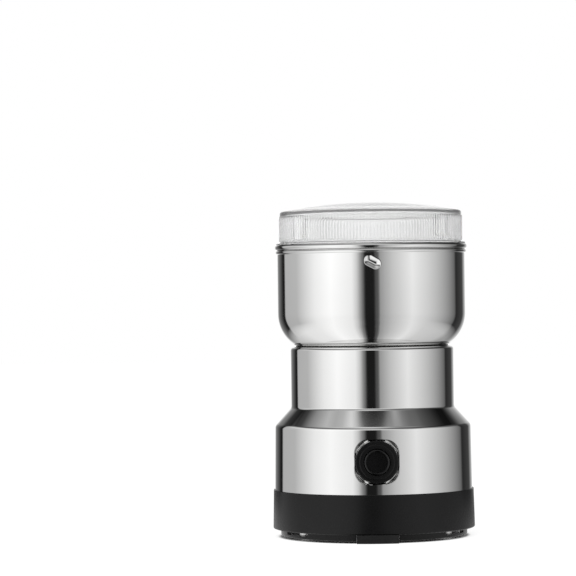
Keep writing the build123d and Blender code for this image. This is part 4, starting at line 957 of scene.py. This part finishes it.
class GRINDER_OT_button(bpy.types.Operator):
    """Build the push button and the stepped bezel round it"""

    bl_idname = "grinder.button"
    bl_label = "Button"

    def execute(self, context):
        button = context.scene.grinder_button
        front = front_of("button_bezel")
        back = back_of("button_bezel")
        flange_front = front - button.collar_rise
        flange_back = flange_front - button.flange
        bore = button.radius + button.gap
        barrel_inner = button.barrel_radius - button.barrel_wall
        lip_depth = 0.6 * MM
        lip = flange_back - lip_depth
        bezel_loop = rounded_path(
            [
                (barrel_inner, back, 0),
                (button.barrel_radius, back, 0.2 * MM),
                (button.barrel_radius, flange_back, 0),
                (half_width("button_bezel"), flange_back, 0.15 * MM),
                (half_width("button_bezel"), flange_front, 0.55 * MM),
                (button.collar_radius, flange_front, 0.2 * MM),
                (button.collar_radius, front, 0.4 * MM),
                (bore, front, 0.3 * MM),
                (bore, lip, 0),
                (barrel_inner, lip, 0),
            ],
            fineness=radians(12),
        )
        bezel = lathe("round_bezel", bezel_loop, even_turns(BEZEL_COLUMNS))
        lay_forward(bezel, button.height)
        settle(context, bezel, "button_bezel", "black_plastic")
        self.fit_cap(context, button, lip)
        self.fit_spring(context, button)
        return {"FINISHED"}

    def fit_cap(self, context, button, lip):
        """The button, with a flange behind the bezel's lip, a stem and a hollow face with a steep wall."""
        face, stem_end = front_of("button_cap"), back_of("button_cap")
        stem, flange_edge = 2.0 * MM, half_width("button_cap")
        play, flange_thickness = 0.1 * MM, 1.5 * MM
        flange_top = lip - play
        flange_low = flange_top - flange_thickness
        edge, wall_breadth = 0.8 * MM, 0.25 * MM
        floor_end = (button.radius - edge - wall_breadth, face - 0.9 * button.dish)
        dish = sagging_arc((0, face - button.dish), floor_end, rise=0.02 * MM, steps=6)
        dish += sagging_arc(floor_end, (button.radius - edge, face), rise=0.06 * MM, steps=6)[1:-1]
        bend = 0.2 * MM
        cap_loop = rounded_path(
            [
                (0, stem_end, 0),
                (stem, stem_end, bend),
                (stem, flange_low, bend),
                (flange_edge, flange_low, bend),
                (flange_edge, flange_top, bend),
                (button.radius, flange_top, bend / 2),
                (button.radius, face, edge * 0.8),
                (button.radius - edge, face, 0),
            ],
            fineness=radians(9),
        )
        cap = lathe("push_button", cap_loop[:-1] + dish[::-1], even_turns(CAP_COLUMNS))
        lay_forward(cap, button.height)
        settle(context, cap, "button_cap", "button_plastic")

    def fit_spring(self, context, button):
        """The return spring, copied from the frame's solid onto a mesh of its own."""
        spring = add_object("return_spring", NODES["button_spring"].data.copy())
        spring.data.materials.clear()
        settle(context, spring, "button_spring", "satin_steel")
        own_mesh(spring)


class GRINDER_OT_base(bpy.types.Operator):
    """Finish the moulded base, its cover, feet, screws and cord bush"""

    bl_idname = "grinder.base"
    bl_label = "Base"

    def execute(self, context):
        dress(context, "black_plastic", ["base_ring", "bottom_cover"])
        dress(context, "black_rubber", ["rubber_feet", "cord_gland"])
        dress(context, "satin_steel", ["cover_screws"])
        return {"FINISHED"}


class GRINDER_OT_blades(bpy.types.Operator):
    """Finish the blades and what holds them on the shaft"""

    bl_idname = "grinder.blades"
    bl_label = "Blades"

    def execute(self, context):
        dress(context, "polished_steel", ["lower_blade", "upper_blade", "blade_nut"])
        dress(context, "satin_steel", ["blade_washer", "motor_shaft"])
        dress(context, "black_plastic", ["blade_spacer", "shaft_seal"])
        return {"FINISHED"}


class GRINDER_OT_motor(bpy.types.Operator):
    """Finish the motor, the switch and their frames"""

    bl_idname = "grinder.motor"
    bl_label = "Motor"

    def execute(self, context):
        dress(context, "core_steel", ["stator_core", "armature_core"])
        dress(context, "copper", ["field_coils", "armature_windings", "commutator"])
        dress(context, "carbon", ["carbon_brushes"])
        dress(context, "bronze", ["top_bearing", "bottom_bearing"])
        dress(context, "phenolic", ["brush_holders", "switch_body", "switch_plunger"])
        grey = ["top_bracket", "bottom_bracket", "switch_carrier", "cooling_fan", "thrust_washers"]
        dress(context, "frame_plastic", grey)
        steel = ["mount_studs", "mount_nuts", "bracket_screws", "motor_bolts", "brush_springs"]
        dress(context, "satin_steel", steel)
        return {"FINISHED"}


# ------------------------------------------------------------------------------------ studio
# The tent's soft boxes and dark cards, as (degrees round from the camera, share of the full glow)
TENT_WALL = [
    (-161, 0.56), (-153, 0.20), (-140, 0.08), (-131, 0.01), (-126, 0.01), (-124, 0.40),
    (-98, 0.43), (-68, 0.80), (-47, 0.94), (-22, 0.80), (-16, 0.55), (-12, 0.24),
    (-8.6, 0.10), (-7.0, 0.01), (3.4, 0.01), (4.6, 0.06), (8.4, 0.09), (9.6, 0.28),
    (24, 0.50), (48, 0.76), (67, 0.60), (82, 0.46), (116, 0.12), (120, 0.02),
    (141, 0.05), (161, 0.58),
]
# The sheet on the floor is as the wall in front, and pale at the sides
TENT_SHEET = [(-161, 0.40), (-135, 0.50), (-115, 0.62), (-95, 0.76)]
TENT_SHEET += [stop for stop in TENT_WALL if abs(stop[0]) < 70]
TENT_SHEET += [(90, 0.54), (112, 0.48), (125, 0.32), (161, 0.26)]
# The same for the part above the front card, and how the whole tent dims from its foot to its crown, as
# (degrees up, share)
TENT_ROOF = [
    (-161, 0.56), (-154, 0.42), (-148, 0.16), (-140, 0.03), (-131, 0.03), (-124, 0.32),
    (-111, 0.56), (-87, 0.67), (-63, 0.75), (-25, 0.88), (0, 0.80), (25, 0.60),
    (47, 0.34), (63, 0.40), (76, 0.27), (96, 0.13), (118, 0.06), (131, 0.04),
    (142, 0.16), (161, 0.56),
]
TENT_RISE = [
    (0, 1.00), (12, 1.08), (22, 1.10), (28, 0.60), (33, 0.12), (38, 0.12),
    (46, 0.42), (56, 0.70), (61, 0.56), (65, 0.60), (69, 0.85), (71, 0.60),
    (73, 0.10), (75, 0.02), (90, 0.03),
]

# What marks the sheet where the other parts have their share of the way up, and how softly the front card ends
SHEET_RISE = -0.2
CARD_FADE = 0.03

LAMP_PLACE = (-0.12, -0.30, 0.50)
LAMP_AIM = (0, 0, 0.08)


def plain_object(name, points, faces):
    """Object from a list of points and faces."""
    mesh = bpy.data.meshes.new(name)
    mesh.from_pydata(points, [], faces)
    return add_object(name, mesh)


def bare_material(name):
    """New material without nodes, and its node tree."""
    material = bpy.data.materials.new(name)
    material.use_nodes = True
    material.node_tree.nodes.clear()
    return material, material.node_tree


def put_out(tree, shader):
    """Give a material's tree its output."""
    add_node(tree, "ShaderNodeOutputMaterial", {"Surface": shader.outputs[0]})


class GRINDER_OT_studio(bpy.types.Operator):
    """Set up the camera, the pale floor, the light tent and the soft lamp"""

    bl_idname = "grinder.studio"
    bl_label = "Studio"

    def execute(self, context):
        stage = context.scene.grinder_stage
        self.place_camera(context, stage)
        self.lay_floor(stage)
        self.put_up_tent(stage)
        self.hang_lamp(stage)
        self.light_world(context)
        context.scene.view_settings.view_transform = "Standard"
        return {"FINISHED"}

    def place_camera(self, context, stage):
        camera = add_object("camera", bpy.data.cameras.new("camera"))
        camera.data.lens = stage.lens
        camera.data.clip_start, camera.data.clip_end = 0.05, 30
        across, ahead = stage.distance * sin(stage.azimuth), stage.distance * cos(stage.azimuth)
        camera.location = (across, -ahead, stage.height)
        camera.rotation_euler = (radians(90) + stage.pitch, stage.roll, stage.azimuth + stage.pan)
        context.scene.camera = camera

    def lay_floor(self, stage):
        reach = 4.0
        corners = [(-reach, -reach, 0), (reach, -reach, 0), (reach, reach, 0), (-reach, reach, 0)]
        floor = plain_object("floor", corners, [(0, 1, 2, 3)])
        material, tree = bare_material("pale_floor")
        paint_colour = (stage.floor_paint, stage.floor_paint, stage.floor_paint, 1)
        paint = add_node(tree, "ShaderNodeBsdfDiffuse", {"Color": paint_colour})
        glow_inputs = {"Color": (*stage.floor_colour, 1), "Strength": stage.floor_glow}
        glow = add_node(tree, "ShaderNodeEmission", glow_inputs)
        path = tree.nodes.new("ShaderNodeLightPath")
        seen = combine(tree, "MAXIMUM", path.outputs["Is Camera Ray"], path.outputs["Is Glossy Ray"])
        seen = combine(tree, "MAXIMUM", seen, path.outputs["Is Transmission Ray"])
        # Painted shade: the glow is left out in a disc under the base, so the floor there shows only its diffuse part
        # in the object's real shadow
        away = add_node(tree, "ShaderNodeVectorMath", {0: own_place(tree)}, operation="LENGTH")
        clear = spread(tree, away.outputs["Value"], stage.shade_start, stage.shade_end, 0.0, stage.floor_share)
        shown = combine(tree, "MULTIPLY", seen, clear)
        mix = add_node(tree, "ShaderNodeMixShader", {0: shown, 1: paint.outputs[0], 2: glow.outputs[0]})
        put_out(tree, mix)
        floor.data.materials.append(material)
        floor.visible_glossy = False

    def put_up_tent(self, stage):
        """Sheet, wall and rounded roof about the object, open at the back, that glow by direction and height."""
        first, last = TENT_WALL[0][0], TENT_WALL[-1][0]
        columns, wall_rows = 120, 6
        sheet_height, roof_squash = 0.5 * MM, 0.75
        roof = arc((0, 0), stage.tent_radius, start=0, end=radians(89), steps=14)
        outline = [(r, sheet_height) for r in (stage.shade_start, stage.tent_radius / 2, stage.tent_radius)]
        outline += [(stage.tent_radius, stage.tent_height * step / wall_rows) for step in range(1, wall_rows)]
        outline += [(r, stage.tent_height + roof_squash * z) for r, z in roof]
        rises = [max(0, atan2(z - stage.middle, r)) / radians(90) for r, z in outline]
        rises[:2] = [SHEET_RISE, SHEET_RISE]
        points, faces, spots = [], [], []
        for column in range(columns + 1):
            turn = radians(first + (last - first) * column / columns) + stage.azimuth
            points += [(r * sin(turn), -r * cos(turn), z) for r, z in outline]
        rows = len(outline)
        for column in range(columns):
            here, on = column / columns, (column + 1) / columns
            for row in range(rows - 1):
                corner = column * rows + row
                faces.append((corner, corner + rows, corner + rows + 1, corner + 1))
                spots += [(here, rises[row]), (on, rises[row]), (on, rises[row + 1]), (here, rises[row + 1])]
        tent = plain_object("light_tent", points, faces)
        layer = tent.data.uv_layers.new(name="direction")
        for loop, spot in zip(layer.data, spots):
            loop.uv = spot
        tent.data.materials.append(self.tent_glow(stage, first, last))
        tent.visible_camera = False
        tent.visible_shadow = False
        tent.visible_diffuse = False

    def tent_glow(self, stage, first, last):
        """Glow from the four tables; what is seen through glass is paler."""
        material, tree = bare_material("tent_glow")
        place = add_node(tree, "ShaderNodeUVMap", uv_map="direction")
        parts = add_node(tree, "ShaderNodeSeparateXYZ", {0: place.outputs[0]})
        across, up = parts.outputs["X"], parts.outputs["Y"]
        tables = (TENT_WALL, TENT_SHEET, TENT_ROOF)
        wall, sheet, roof = (self.glow_ramp(tree, across, table, first, last) for table in tables)
        rise = self.glow_ramp(tree, up, TENT_RISE, 0, 90)
        low_part = crossfade(tree, wall, sheet, spread(tree, up, SHEET_RISE, 0.0, 1.0, 0.0))
        over_card = spread(tree, up, stage.card_top - CARD_FADE, stage.card_top + CARD_FADE)
        glow = combine(tree, "MULTIPLY", crossfade(tree, low_part, roof, over_card), rise)
        glow = combine(tree, "MULTIPLY", glow, stage.tent_strength)
        through_glass = tree.nodes.new("ShaderNodeLightPath").outputs["Is Transmission Ray"]
        veil = combine(tree, "MULTIPLY", through_glass, stage.veil)
        strength = crossfade(tree, glow, stage.veil_glow, veil)
        put_out(tree, add_node(tree, "ShaderNodeEmission", {"Strength": strength}))
        return material

    def glow_ramp(self, tree, value, table, first, last):
        """Colour ramp from a table of (degrees, share)."""
        ramp = add_node(tree, "ShaderNodeValToRGB", {"Fac": value})
        stops = ramp.color_ramp.elements
        while len(stops) < len(table):
            stops.new(0.5)
        for stop, (degrees, strength) in zip(stops, table):
            stop.position = (degrees - first) / (last - first)
            stop.color = (strength, strength, strength, 1)
        return ramp.outputs["Color"]

    def hang_lamp(self, stage):
        lamp = bpy.data.lights.new("soft_lamp", "AREA")
        lamp.energy = stage.fill_power
        lamp.size = stage.lamp_size
        holder = add_object("soft_lamp", lamp)
        holder.location = LAMP_PLACE
        holder.rotation_euler = (Vector(LAMP_AIM) - holder.location).to_track_quat("-Z", "Y").to_euler()
        holder.visible_glossy = False
        holder.visible_transmission = False

    def light_world(self, context):
        world = bpy.data.worlds.new("white_world")
        world.use_nodes = True
        background = world.node_tree.nodes["Background"]
        background.inputs["Color"].default_value = (1, 1, 1, 1)
        background.inputs["Strength"].default_value = 1.0
        context.scene.world = world


OPERATORS = [
    GRINDER_OT_bowl,
    GRINDER_OT_housing,
    GRINDER_OT_lid,
    GRINDER_OT_button,
    GRINDER_OT_base,
    GRINDER_OT_blades,
    GRINDER_OT_motor,
    GRINDER_OT_studio,
]


class GRINDER_PT_parts(bpy.types.Panel):
    """Lists what the grinder is built from"""

    bl_label = "Grinder"
    bl_idname = "GRINDER_PT_parts"
    bl_space_type = "VIEW_3D"
    bl_region_type = "UI"
    bl_category = "Grinder"

    def draw(self, context):
        for operator in OPERATORS:
            self.layout.operator(operator.bl_idname)


CLASSES = [*SETTINGS.values(), *OPERATORS, GRINDER_PT_parts]


def register():
    for one in CLASSES:
        bpy.utils.register_class(one)
    for name, group in SETTINGS.items():
        setattr(bpy.types.Scene, name, PointerProperty(type=group))


def unregister():
    for name in SETTINGS:
        delattr(bpy.types.Scene, name)
    for one in reversed(CLASSES):
        bpy.utils.unregister_class(one)


def main():
    register()
    bpy.ops.grinder.bowl()
    bpy.ops.grinder.housing()
    bpy.ops.grinder.lid()
    bpy.ops.grinder.button()
    bpy.ops.grinder.base()
    bpy.ops.grinder.blades()
    bpy.ops.grinder.motor()
    bpy.ops.grinder.studio()


if __name__ == "__main__":
    main()
